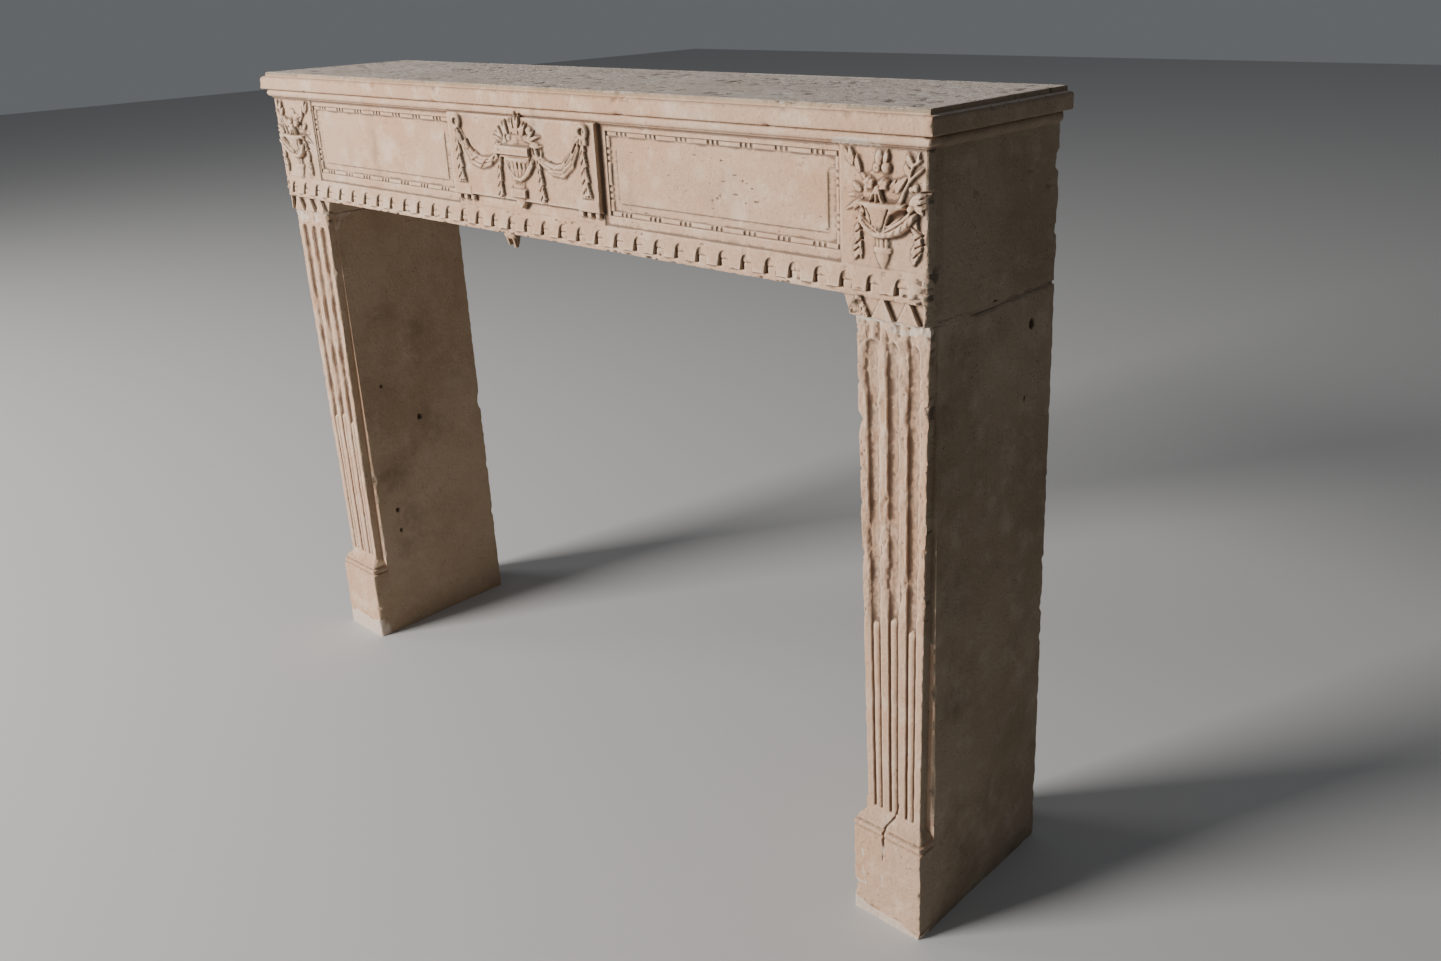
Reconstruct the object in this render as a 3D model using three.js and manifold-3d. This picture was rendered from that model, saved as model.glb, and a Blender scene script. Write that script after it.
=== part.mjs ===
// Carved stone fireplace mantel: two fluted jambs, a carved lintel and a moulded shelf slab.
// Millimetres. X runs along the width, the carved front faces -Y and Z is up.
// While the stones are shaped, y = 0 is the front face of the plinths and y grows towards the wall.

import * as THREE from 'three';
import { mergeVertices } from 'three/addons/utils/BufferGeometryUtils.js';
import Module from 'manifold-3d';

const wasm = await Module();
wasm.setup();

// Whole mantel
const height = 1080;
const bodyWidth = 1410;
const depth = 286;
const bedJoint = 0.3;
const mortarJoint = 3;
const sink = 1.5;

// Shelf slab
const shelfThickness = 28;
const shelfOverhang = 15;
const shelfFilletHeight = 7;
const shelfFilletSetback = 9;
const shelfEdgeRound = 1.6;

// Lintel block and the mouldings on its face, from the top down
const lintelHeight = 186.7;
const friezeSetback = 9;
const bedMouldHeight = 15.7;
const bedMouldReach = 8;
const ledgeBevelHeight = 5.5;
const bandHeight = 22;
const bandReach = 6;
const bandLip = 2.4;
const filletHeight = 7;
const filletReach = 3.6;

// Row of arched recesses along the band
const canalPitch = 39.5;
const canalWidth = 20;
const canalDepth = 7;
const canalLedgeHeight = 9;
const canalLedgeDepth = 3.2;
const canalCrown = 1;
const canalRoom = 5;

// Dropped ends of the lintel over the jambs
const capitalDrop = 26;
const capitalSetback = 16;
const capitalToothRise = 7.5;
const capitalToothPitch = 36.5;
const capitalToothBase = 33;
const capitalToothTip = 6;
const capitalCove = 17;
const capitalOverhang = 8;
const capitalSideSetback = 1.5;

// Long panels between the centre tablet and the corner blocks
const cornerWidth = 125;
const panelSink = 2;
const panelMargin = 10;
const panelTopMargin = 8.5;
const panelBottomMargin = 13.5;
const panelDepth = 3.2;
const beadRadius = 3.4;
const beadLength = 5.6;
const beadNotch = 2.8;
const beadsPerGroup = 2;
const reelPitch = 59;
const fieldMargin = 12;
const fieldRise = 1.4;

// Centre tablet with its lower corner tabs and drops
const tabletWidth = 338;
const tabletRise = 8;
const tabletFoot = 18;
const tabWidth = 44;
const tabDrop = 4;
const dropCount = 3;
const dropWidth = 10.5;
const dropHeight = 7.5;

// Carving on the tablet and the corner blocks
const urnHeight = 118;
const urnFlatness = 0.2;
const ringSpread = 286;
const ringRadius = 8.5;
const ringBelowTop = 14;
const swagSag = 49;
const swagRadius = 9;
const swagFlatness = 0.62;
const tailLength = 78;
const tailWidth = 25;
const tailRise = 6;
const vaseHeight = 80;
const vaseFlatness = 0.34;
const pendantLength = 62;
const pendantWidth = 17;
const pendantSpread = 80;
const leafRise = 5.5;

// Small broken nib left under the lintel
const nibWidth = 22;
const nibDrop = 21;
const nibThickness = 16;
const nibPlace = -58;

// Jambs
const jambWidth = 110;
const plinthBlockHeight = 132;
const astragalHeight = 14;
const apronHeight = 12;
const shaftSetback = 16;
const shaftProud = 14;
const shaftTopInset = 2;
const shaftFootInset = 12;
const fluteCount = 3;
const fluteShare = 0.49;
const fluteDepth = 7;
const fluteTopMargin = 19;
const fluteFootMargin = 6;
const reedHeight = 280;
const reedStep = 9;
const reedGap = 1.9;

// Broken right end of the band
const bandBreakLength = 14;

const stone = { color: 0xc9b09b, roughness: 0.85, metalness: 0 };

// Levels and planes that follow from the sizes above
const halfWidth = bodyWidth / 2;
const lintelTop = height - shelfThickness - bedJoint;
const soffit = lintelTop - lintelHeight;
const capitalBottom = soffit - capitalDrop;
const jambTop = capitalBottom - mortarJoint;
const friezeTop = lintelTop - bedMouldHeight;
const bandBottom = soffit + filletHeight;
const bandTop = bandBottom + bandHeight;
const friezeBottom = bandTop + ledgeBevelHeight;
const panelPlane = friezeSetback + panelSink;
const tabletPlane = friezeSetback - tabletRise;
const bandFace = friezeSetback - bandReach;
const tabletBottom = friezeBottom + tabletFoot;
const jambInside = halfWidth - jambWidth;
const plinthTop = plinthBlockHeight + astragalHeight + apronHeight;
const jambBodyPlane = shaftSetback + shaftProud;
const shelfFront = friezeSetback - shelfOverhang;
const frontMost = Math.min(shelfFront, 0);

// Helpers that turn outlines and rings into closed solids

function solid(geometry) {
  const clean = geometry.index ? geometry.toNonIndexed() : geometry.clone();
  clean.deleteAttribute('normal');
  clean.deleteAttribute('uv');
  const merged = mergeVertices(clean, 1e-4);
  const vertProperties = new Float32Array(merged.attributes.position.array);
  const triVerts = new Uint32Array(merged.index.array);
  return new wasm.Manifold(new wasm.Mesh({ numProp: 3, vertProperties, triVerts }));
}

function union(solids) {
  return solids.reduce((whole, next) => whole.add(next));
}

function box(x0, x1, y0, y1, z0, z1) {
  const geometry = new THREE.BoxGeometry(x1 - x0, y1 - y0, z1 - z0);
  geometry.translate((x0 + x1) / 2, (y0 + y1) / 2, (z0 + z1) / 2);
  return solid(geometry);
}

function extrude(outline, length) {
  const shape = new THREE.Shape(outline.map(([a, b]) => new THREE.Vector2(a, b)));
  return new THREE.ExtrudeGeometry(shape, { depth: length, bevelEnabled: false });
}

// Outline of [x, z] points pushed from the plane y = front back to y = back
function facePlate(outline, front, back) {
  const geometry = extrude(outline, back - front);
  geometry.rotateX(Math.PI / 2);
  geometry.translate(0, back, 0);
  return solid(geometry);
}

// Outline of [y, z] points run along the width from x0 to x1
function widthRun(outline, x0, x1) {
  const geometry = extrude(outline, x1 - x0);
  const turn = new THREE.Matrix4().makeBasis(
    new THREE.Vector3(0, 1, 0),
    new THREE.Vector3(0, 0, 1),
    new THREE.Vector3(1, 0, 0),
  );
  geometry.applyMatrix4(turn);
  geometry.translate(x0, 0, 0);
  return solid(geometry);
}

// Skin over a run of rings with the same number of [x, y, z] points, closed by a fan at each end
function loft(rings) {
  const count = rings[0].length;
  const positions = rings.flat(2);
  const triangles = [];
  for (let ring = 0; ring < rings.length - 1; ring += 1) {
    for (let side = 0; side < count; side += 1) {
      const a = ring * count + side;
      const b = ring * count + ((side + 1) % count);
      triangles.push(a, b, b + count, a, b + count, a + count);
    }
  }
  const last = (rings.length - 1) * count;
  for (let side = 1; side < count - 1; side += 1) {
    triangles.push(0, side + 1, side);
    triangles.push(last, last + side, last + side + 1);
  }
  const geometry = new THREE.BufferGeometry();
  geometry.setAttribute('position', new THREE.Float32BufferAttribute(positions, 3));
  geometry.setIndex(triangles);
  if (signedVolume(positions, triangles) < 0) {
    for (let corner = 0; corner < triangles.length; corner += 3) {
      const keep = triangles[corner];
      triangles[corner] = triangles[corner + 1];
      triangles[corner + 1] = keep;
    }
    geometry.setIndex(triangles);
  }
  return solid(geometry);
}

function signedVolume(positions, triangles) {
  const corner = (index) => new THREE.Vector3().fromArray(positions, index * 3);
  let volume = 0;
  for (let first = 0; first < triangles.length; first += 3) {
    const a = corner(triangles[first]);
    const b = corner(triangles[first + 1]);
    const c = corner(triangles[first + 2]);
    volume += a.dot(b.cross(c));
  }
  return volume;
}

// Slab whose moulding of [out, z] points returns round the front and both sides
function mouldedSlab(profile, left, right, front, back, sideShare = 1) {
  return loft(profile.map(([out, z]) => {
    const x0 = left - out * sideShare;
    const x1 = right + out * sideShare;
    const y0 = front - out;
    return [[x0, y0, z], [x1, y0, z], [x1, back, z], [x0, back, z]];
  }));
}

// Bar along a run of [x, z] points on a face, with a flattened round section of varying radius
function garland(path, radiusAt, plane, flatness, sides = 5) {
  return loft(path.map(([x, z], step) => {
    const before = path[Math.max(step - 1, 0)];
    const after = path[Math.min(step + 1, path.length - 1)];
    const along = new THREE.Vector2(after[0] - before[0], after[1] - before[1]).normalize();
    const radius = radiusAt(step / (path.length - 1));
    const ring = [];
    for (let side = 0; side < sides; side += 1) {
      const angle = ((side + 0.25) / sides) * 2 * Math.PI;
      const across = Math.cos(angle) * radius;
      const out = Math.sin(angle) * radius * flatness;
      ring.push([x - along.y * across, plane - out, z + along.x * across]);
    }
    return ring;
  }));
}

// Pointed leaf with a raised rib, from its stalk to its tip, bent sideways by bend
function leaf(stalk, tip, width, plane, rise = leafRise, bend = 0) {
  const stations = [[0, 0.3], [0.45, 1], [1, 0.06]];
  const dx = tip[0] - stalk[0];
  const dz = tip[1] - stalk[1];
  const length = Math.hypot(dx, dz);
  const acrossX = -dz / length;
  const acrossZ = dx / length;
  return loft(stations.map(([t, share]) => {
    const swing = bend * 4 * t * (1 - t);
    const x = stalk[0] + dx * t + acrossX * swing;
    const z = stalk[1] + dz * t + acrossZ * swing;
    const half = (share * width) / 2;
    const lift = rise * (0.55 + 0.45 * share);
    return [
      [x - acrossX * half, plane + sink, z - acrossZ * half],
      [x, plane - lift, z],
      [x + acrossX * half, plane + sink, z + acrossZ * half],
    ];
  }));
}

// Flattened ball half sunk in a face, for blooms, berries and knots
function bloom(x, z, radius, plane, flatness = 0.6, sides = 6) {
  const geometry = new THREE.SphereGeometry(radius, sides, 4);
  geometry.rotateX(Math.PI / 2);
  geometry.scale(1, flatness, 1);
  geometry.translate(x, plane, z);
  return solid(geometry);
}

// Turned vessel of [radius, height] points, flattened against a face
function turned(profile, x, z, plane, flatness, sides = 8) {
  const points = profile.map(([radius, up]) => new THREE.Vector2(radius, up));
  const geometry = new THREE.LatheGeometry(points, sides, Math.PI / sides);
  geometry.rotateX(Math.PI / 2);
  geometry.scale(1, flatness, 1);
  geometry.translate(x, plane, z);
  return solid(geometry);
}

// Hanging bunch of leaves: whorls that widen downwards and step back in, with a rib down the middle
function leafTail(x, top, length, width, plane, rise, lean = 0) {
  const whorls = 4;
  const stations = [];
  for (let whorl = 0; whorl < whorls; whorl += 1) {
    const swell = 0.55 + (0.45 * (whorl + 1)) / whorls;
    stations.push([whorl / whorls, swell * 0.55], [(whorl + 0.82) / whorls, swell]);
  }
  stations.push([1, 0.2]);
  return loft(stations.map(([t, share]) => {
    const middle = x + lean * t;
    const z = top - length * t;
    const half = (width * share) / 2;
    const rib = middle + (share > 0.6 ? 0.12 : -0.12) * width;
    return [
      [middle - half, plane + sink, z],
      [rib, plane - rise * (0.45 + 0.55 * share), z],
      [middle + half * 0.75, plane - rise * 0.6 * share, z],
      [middle + half, plane + sink, z],
    ];
  }));
}

// Shelf

function makeShelf() {
  const bottom = height - shelfThickness;
  const shoulder = height - shelfFilletHeight;
  const fillet = shelfOverhang - shelfFilletSetback;
  const profile = [
    [shelfOverhang - shelfEdgeRound, bottom],
    [shelfOverhang - shelfEdgeRound * 0.25, bottom + shelfEdgeRound],
    [shelfOverhang, bottom + shelfEdgeRound * 2.5],
    [shelfOverhang, shoulder - shelfEdgeRound * 2],
    [shelfOverhang - shelfEdgeRound * 0.5, shoulder - shelfEdgeRound * 0.5],
    [fillet + shelfEdgeRound, shoulder],
    [fillet, shoulder + shelfEdgeRound * 0.5],
    [fillet, height - shelfEdgeRound * 0.3],
    [fillet - shelfEdgeRound * 0.3, height],
  ];
  return mouldedSlab(profile, -halfWidth, halfWidth, friezeSetback, depth);
}

// Lintel

function lintelBody() {
  const torusMiddle = friezeTop + bedMouldHeight * 0.58;
  const torusHalf = bedMouldHeight * 0.36;
  const steps = 6;
  const mould = [[0, friezeTop - sink], [0, friezeTop], [bedMouldReach * 0.3, friezeTop + bedMouldHeight * 0.1]];
  for (let step = 0; step <= steps; step += 1) {
    const angle = -Math.PI / 2 + (Math.PI * step) / steps;
    const out = bedMouldReach * (0.45 + 0.55 * Math.cos(angle));
    mould.push([out, torusMiddle + torusHalf * Math.sin(angle)]);
  }
  mould.push([bedMouldReach * 0.45, lintelTop]);
  const bedMould = mouldedSlab(mould, -halfWidth, halfWidth, friezeSetback, depth);
  const block = box(-halfWidth, halfWidth, friezeSetback, depth, soffit, friezeTop);
  const filletFace = friezeSetback - filletReach;
  const inside = friezeSetback + sink;
  const flare = [];
  const flareSteps = 2;
  for (let step = 0; step <= flareSteps; step += 1) {
    const t = step / flareSteps;
    flare.push([friezeSetback - bandLip - (bandReach - bandLip) * t ** 1.7, bandTop - bandHeight * t]);
  }
  const band = widthRun([
    [inside, soffit],
    [inside, friezeBottom],
    [friezeSetback, friezeBottom],
    ...flare,
    [filletFace, bandBottom],
    [filletFace, soffit],
  ], -halfWidth, halfWidth);
  return union([block, bedMould, band]);
}

function archedRecess(x) {
  const radius = canalWidth / 2;
  const spring = bandTop - radius - canalCrown;
  const ledgeTop = bandBottom + canalLedgeHeight;
  const outline = [[x + radius, ledgeTop], [x + radius, spring]];
  const steps = 4;
  for (let step = 1; step < steps; step += 1) {
    const angle = (Math.PI * step) / steps;
    outline.push([x + radius * Math.cos(angle), spring + radius * Math.sin(angle)]);
  }
  outline.push([x - radius, spring], [x - radius, ledgeTop]);
  const clear = bandFace - sink;
  const deep = facePlate(outline, clear, bandFace + canalDepth);
  const shallow = box(x - radius, x + radius, clear, bandFace + canalLedgeDepth, bandBottom, ledgeTop);
  return deep.add(shallow);
}

function canalRow(body) {
  const room = bodyWidth - 2 * canalRoom - canalWidth;
  const count = Math.floor(room / canalPitch) + 1;
  const first = -((count - 1) * canalPitch) / 2;
  const recesses = [];
  for (let index = 0; index < count; index += 1) {
    recesses.push(archedRecess(first + index * canalPitch));
  }
  return body.subtract(union(recesses));
}

function capitalEnd(side) {
  const inner = jambInside - capitalOverhang;
  const outer = halfWidth - capitalSideSetback;
  const overlap = soffit + sink;
  const outline = [
    [outer, capitalBottom],
    [outer, overlap],
    [inner - capitalCove + 4, overlap],
    [inner - capitalCove + 4, soffit],
    [inner - capitalCove + 8, soffit - capitalDrop * 0.07],
    [inner - capitalCove * 0.36, soffit - capitalDrop * 0.3],
    [inner - capitalCove * 0.2, soffit - capitalDrop * 0.6],
    [inner, capitalBottom],
  ];
  const block = facePlate(outline, capitalSetback, depth);
  const toothFace = capitalSetback - capitalToothRise;
  const teeth = [];
  const count = Math.floor((outer - inner - capitalToothBase) / capitalToothPitch) + 1;
  for (let index = 0; index < count; index += 1) {
    const middle = inner + capitalToothBase / 2 + index * capitalToothPitch;
    teeth.push(facePlate([
      [middle - capitalToothBase / 2, capitalBottom],
      [middle + capitalToothBase / 2, capitalBottom],
      [middle + capitalToothTip / 2, overlap],
      [middle - capitalToothTip / 2, overlap],
    ], toothFace, capitalSetback + sink));
  }
  teeth.push(facePlate([
    [outer - capitalToothTip, capitalBottom],
    [outer, capitalBottom],
    [outer, overlap],
    [outer - capitalToothTip * 0.5, overlap],
  ], toothFace, capitalSetback + sink));
  const end = union([block, ...teeth]);
  return side > 0 ? end : end.mirror([1, 0, 0]);
}

// Half round bars laid end to end with notches between: long reels and groups of short beads
function beadRun(length) {
  const group = beadsPerGroup * beadLength + (beadsPerGroup + 1) * beadNotch;
  const groups = Math.max(1, Math.round(length / reelPitch));
  const pitch = length / groups;
  const bars = [];
  let from = 0;
  for (let index = 0; index < groups; index += 1) {
    const start = (index + 0.5) * pitch - group / 2;
    bars.push([from, start]);
    for (let bead = 0; bead < beadsPerGroup; bead += 1) {
      const left = start + beadNotch + bead * (beadLength + beadNotch);
      bars.push([left, left + beadLength]);
    }
    from = start + group;
  }
  bars.push([from, length]);
  return bars;
}

function beadBar(from, to, plane, upright, place) {
  const r = beadRadius;
  const section = [[-r, -sink], [-r * 0.5, r * 0.85], [r * 0.5, r * 0.85], [r, -sink]];
  return loft([from, to].map((along) => section.map(([across, out]) => (
    upright ? [place + across, plane - out, along] : [along, plane - out, place + across]
  ))));
}

function panelEdges(side) {
  const inner = tabletWidth / 2 + panelMargin;
  const outer = halfWidth - cornerWidth;
  return {
    left: side > 0 ? inner : -outer,
    right: side > 0 ? outer : -inner,
    low: friezeBottom + panelBottomMargin,
    high: friezeTop - panelTopMargin,
  };
}

function panelHollow(side) {
  const { left, right, low, high } = panelEdges(side);
  const zoneInner = tabletWidth / 2 - sink;
  const zoneOuter = halfWidth - cornerWidth + 3;
  const zone = box(
    side > 0 ? zoneInner : -zoneOuter,
    side > 0 ? zoneOuter : -zoneInner,
    friezeSetback - 1, panelPlane, friezeBottom, friezeTop,
  );
  const sunk = box(left, right, panelPlane - sink, panelPlane + panelDepth, low, high);
  return zone.add(sunk);
}

function panelRelief(side) {
  const { left, right, low, high } = panelEdges(side);
  const floor = panelPlane + panelDepth;
  const parts = [box(
    left + 2 * beadRadius + fieldMargin, right - 2 * beadRadius - fieldMargin,
    floor - fieldRise, floor + sink,
    low + 2 * beadRadius + fieldMargin, high - 2 * beadRadius - fieldMargin,
  )];
  const across = right - left - 2 * beadRadius;
  for (const place of [low + beadRadius, high - beadRadius]) {
    for (const [from, to] of beadRun(across)) {
      parts.push(beadBar(left + beadRadius + from, left + beadRadius + to, floor, false, place));
    }
  }
  const up = high - low - 4 * beadRadius;
  for (const place of [left + beadRadius, right - beadRadius]) {
    for (const [from, to] of beadRun(up)) {
      parts.push(beadBar(low + 2 * beadRadius + from, low + 2 * beadRadius + to, floor, true, place));
    }
  }
  return union(parts);
}

function tabletPlate() {
  const half = tabletWidth / 2;
  const inner = half - tabWidth;
  const foot = tabletBottom - tabDrop;
  const outline = [
    [-half, foot], [-inner, foot], [-inner, tabletBottom], [inner, tabletBottom],
    [inner, foot], [half, foot], [half, friezeTop + sink], [-half, friezeTop + sink],
  ];
  const plate = facePlate(outline, tabletPlane, friezeSetback + panelSink + sink);
  const drops = [];
  const step = (tabWidth - dropWidth) / (dropCount - 1);
  for (const side of [-1, 1]) {
    for (let index = 0; index < dropCount; index += 1) {
      const middle = side * (inner + dropWidth / 2 + index * step);
      const top = dropWidth * 0.38;
      const toe = dropWidth * 0.5;
      drops.push(loft([[foot + sink, top, 0.75], [foot - dropHeight, toe, 0.6]].map(([z, w, out]) => [
        [middle - w, friezeSetback + panelSink + sink, z],
        [middle - w, friezeSetback - tabletRise * out, z],
        [middle + w, friezeSetback - tabletRise * out, z],
        [middle + w, friezeSetback + panelSink + sink, z],
      ])));
    }
  }
  return union([plate, ...drops]);
}

function urnCarving() {
  const unit = urnHeight / 118;
  const plane = tabletPlane;
  const foot = tabletBottom - 13 * unit;
  const rimTop = foot + 90 * unit;
  const body = turned([
    [0, 0], [3, 1], [9, 9], [9, 13], [17.5, 14], [17.5, 26],
    [12, 32], [13, 40], [21, 54], [29, 70], [29, 73], [0, 73],
  ].map(([radius, up]) => [radius * unit, up * unit]), 0, foot, plane, urnFlatness);
  const rim = box(-39 * unit, 33 * unit, plane - 5 * unit, plane + sink, foot + 73 * unit, rimTop - 1 * unit);
  const parts = [body, rim];
  const gadroons = 5;
  for (let index = 0; index < gadroons; index += 1) {
    const share = (index - (gadroons - 1) / 2) / ((gadroons - 1) / 2);
    const low = [share * 10 * unit, foot + 41 * unit];
    const high = [share * 24 * unit, foot + 71 * unit];
    parts.push(leaf(high, low, 9 * unit, plane - 3 * unit * (1 - 0.35 * Math.abs(share)), 3 * unit));
  }
  const flowerBase = rimTop - 3 * unit;
  parts.push(bloom(-4 * unit, flowerBase + 6 * unit, 26 * unit, plane, 0.3));
  const fan = 9;
  for (let index = 0; index < fan; index += 1) {
    const t = index / (fan - 1);
    const angle = Math.PI * (0.06 + 0.88 * t);
    const reach = (46 - 6 * Math.sin(angle)) * unit;
    const dx = Math.cos(angle);
    const dz = Math.sin(angle);
    const start = [dx * 15 * unit, flowerBase + dz * 8 * unit];
    const tip = [dx * reach, flowerBase + dz * reach * 0.98];
    parts.push(leaf(start, tip, 14 * unit, plane, (6.5 - 1.5 * Math.abs(dx)) * unit, index % 2 ? 1.5 : -1.5));
  }
  const swag = [];
  const steps = 6;
  for (let step = 0; step <= steps; step += 1) {
    const t = step / steps;
    swag.push([(-28 + 56 * t) * unit, foot + (70 - 26 * 4 * t * (1 - t)) * unit]);
  }
  parts.push(garland(swag, () => 4 * unit, plane - 3.5 * unit, 0.7));
  for (const side of [-1, 1]) {
    const loop = [
      [side * 30 * unit, rimTop - 8 * unit],
      [side * 36 * unit, rimTop - 1 * unit],
      [side * 46 * unit, rimTop + 3 * unit],
      [side * 53 * unit, rimTop - 6 * unit],
      [side * 55 * unit, rimTop - 20 * unit],
      [side * 49 * unit, rimTop - 30 * unit],
    ];
    parts.push(garland(loop, (t) => (3.5 + 2.5 * t) * unit, plane, 1));
    parts.push(leafTail(side * 46 * unit, rimTop - 22 * unit, 58 * unit, 24 * unit, plane, tailRise * unit, side * 4));
  }
  return union(parts);
}

function tabletDrapery() {
  const plane = tabletPlane;
  const ringZ = friezeTop - ringBelowTop;
  const ringX = ringSpread / 2;
  const parts = [];
  for (const side of [-1, 1]) {
    parts.push(bloom(side * ringX, ringZ, ringRadius, plane, 0.85));
    parts.push(bloom(side * ringX, ringZ, ringRadius * 0.5, plane - ringRadius * 0.62, 0.7, 6));
    parts.push(leafTail(side * ringX, ringZ - ringRadius * 0.6, tailLength, tailWidth, plane, tailRise));
    const fall = [];
    const steps = 9;
    const far = ringX - 5;
    const near = ringX * 0.37;
    const farZ = ringZ - ringRadius;
    const nearZ = ringZ - 40;
    for (let step = 0; step <= steps; step += 1) {
      const t = step / steps;
      const x = far + (near - far) * t;
      const z = farZ + (nearZ - farZ) * t - swagSag * 3.1 * t * (1 - t) * (1 - 0.3 * t);
      fall.push([side * x, z]);
    }
    const fold = (t) => swagRadius * (0.42 + 0.6 * Math.sin(Math.PI * t)) * (1 + 0.12 * Math.sin(9 * Math.PI * t));
    parts.push(garland(fall, fold, plane, swagFlatness));
  }
  return union(parts);
}

function vaseCarving(centre, mirrored) {
  const unit = vaseHeight / 80;
  const plane = friezeSetback;
  const foot = friezeBottom - 1 * unit;
  const rim = foot + 77 * unit;
  const hand = mirrored ? -1 : 1;
  const at = (x, z) => [centre + hand * x * unit, rim + z * unit];
  const parts = [turned([
    [0, 0], [3, 1], [9, 11], [10.5, 19], [13, 21], [13, 25], [10.5, 27],
    [10, 36], [20, 44], [28, 55], [32, 73], [34, 74], [34, 77], [0, 77],
  ].map(([radius, up]) => [radius * unit, up * unit]), centre, foot, plane, vaseFlatness)];
  const swag = [];
  const steps = 6;
  for (let step = 0; step <= steps; step += 1) {
    const t = step / steps;
    swag.push(at(-33 + 67 * t, -6 - 27 * 4 * t * (1 - t) * 0.95));
  }
  parts.push(garland(swag, (t) => (3 + 2.6 * Math.sin(Math.PI * t)) * unit, plane - 7 * unit, 0.8));
  const ribbons = [[[-2, 14], [-14, -1]], [[-1, 14], [7, -6]], [[0, 12], [-3, -24]]];
  for (const [from, to] of ribbons) {
    parts.push(leaf(at(...from), at(...to), 5 * unit, plane - 6 * unit, 4 * unit));
  }
  const blooms = [[-17, 17, 8.5], [2, 17, 7.5], [2, 35, 7.5], [14, 14, 6], [37, 15, 3.6]];
  for (const [x, z, radius] of blooms) {
    const [bx, bz] = at(x, z);
    parts.push(bloom(bx, bz, radius * unit, plane, 0.85));
  }
  parts.push(bloom(...at(-2, 6), 22 * unit, plane, 0.26));
  const sprays = [
    [[-40, 40], [-54, 57], 8, 1], [[-35, 30], [-42, 48], 8, 1], [[-27, 14], [-44, 18], 8, 2],
    [[-26, 8], [-48, -8], 6, 0], [[-30, -2], [-56, -16], 5, 0], [[-20, 26], [-36, 42], 7, 1],
    [[0, 40], [6, 57], 7, 1], [[-6, 36], [-14, 54], 8, -1], [[10, 34], [14, 44], 6, 1],
    [[18, 8], [30, 26], 9, 2], [[26, 4], [44, 38], 6, -2], [[36, 26], [50, 40], 6, 1],
    [[34, 30], [36, 54], 7, 2], [[38, 34], [45, 57], 5, -1], [[30, 26], [28, 44], 7, 2],
    [[32, 6], [56, 8], 11, 1], [[34, 0], [52, -10], 9, -1], [[36, 22], [42, 28], 6, 0],
  ];
  for (const [from, to, width, bend] of sprays) {
    parts.push(leaf(at(...from), at(...to), width * unit, plane, leafRise * unit, bend * hand * unit));
  }
  const half = pendantSpread / 2;
  for (const side of [-1, 1]) {
    const x = centre + side * half;
    parts.push(leafTail(x, rim - 6 * unit, pendantLength, pendantWidth, plane, leafRise, side * 1.5));
  }
  return union(parts);
}

function makeLintel() {
  let stoneBlock = lintelBody().subtract(panelHollow(-1)).subtract(panelHollow(1));
  stoneBlock = canalRow(stoneBlock);
  stoneBlock = union([
    stoneBlock, panelRelief(-1), panelRelief(1), tabletPlate(), capitalEnd(-1), capitalEnd(1),
  ]);
  const cornerMiddle = halfWidth - cornerWidth / 2;
  const carving = union([
    urnCarving(), tabletDrapery(), vaseCarving(-cornerMiddle, true), vaseCarving(cornerMiddle, false),
  ]);
  const envelope = box(-halfWidth, halfWidth, frontMost, depth - sink, friezeBottom - ledgeBevelHeight, lintelTop);
  const nib = box(nibPlace - nibWidth / 2, nibPlace + nibWidth / 2, friezeSetback + sink,
    friezeSetback + sink + nibThickness, soffit - nibDrop, soffit + sink);
  const bandBreak = box(halfWidth - bandBreakLength, halfWidth + sink, frontMost, friezeSetback,
    soffit - sink, friezeBottom);
  return union([stoneBlock, carving.intersect(envelope), nib]).subtract(bandBreak);
}

// Jambs, shaped as the right one

function shaftInset(z) {
  const share = (z - plinthTop) / (jambTop - plinthTop);
  return shaftFootInset + (shaftTopInset - shaftFootInset) * share;
}

function shaftSolid() {
  const inside = jambBodyPlane + sink;
  return loft([plinthTop - sink, jambTop].map((z) => {
    const x0 = jambInside + shaftInset(z);
    const x1 = halfWidth - shaftInset(z);
    return [[x0, shaftSetback, z], [x1, shaftSetback, z], [x1, inside, z], [x0, inside, z]];
  }));
}

function fluteLayout(index, z) {
  const inset = shaftInset(z);
  const across = jambWidth - 2 * inset;
  const flute = (across * fluteShare) / fluteCount;
  const fillet = (across - flute * fluteCount) / (fluteCount + 1);
  const middle = jambInside + inset + fillet + flute / 2 + index * (flute + fillet);
  return { middle, half: flute / 2 };
}

function fluteCutter(index) {
  const foot = plinthTop + fluteFootMargin;
  const crown = jambTop - fluteTopMargin;
  const { half: crownHalf } = fluteLayout(index, crown);
  const levels = [
    [foot, 1], [crown - crownHalf, 1], [crown - crownHalf * 0.4, 0.8], [crown, 0.25],
  ];
  const steps = 6;
  return loft(levels.map(([z, share]) => {
    const { middle, half } = fluteLayout(index, z);
    const ring = [[middle - half * share, shaftSetback - sink, z]];
    for (let step = 0; step <= steps; step += 1) {
      const angle = Math.PI * (1 - step / steps);
      const x = middle + half * share * Math.cos(angle);
      ring.push([x, shaftSetback + fluteDepth * share * Math.sin(angle), z]);
    }
    ring.push([middle + half * share, shaftSetback - sink, z]);
    return ring;
  }));
}

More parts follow.
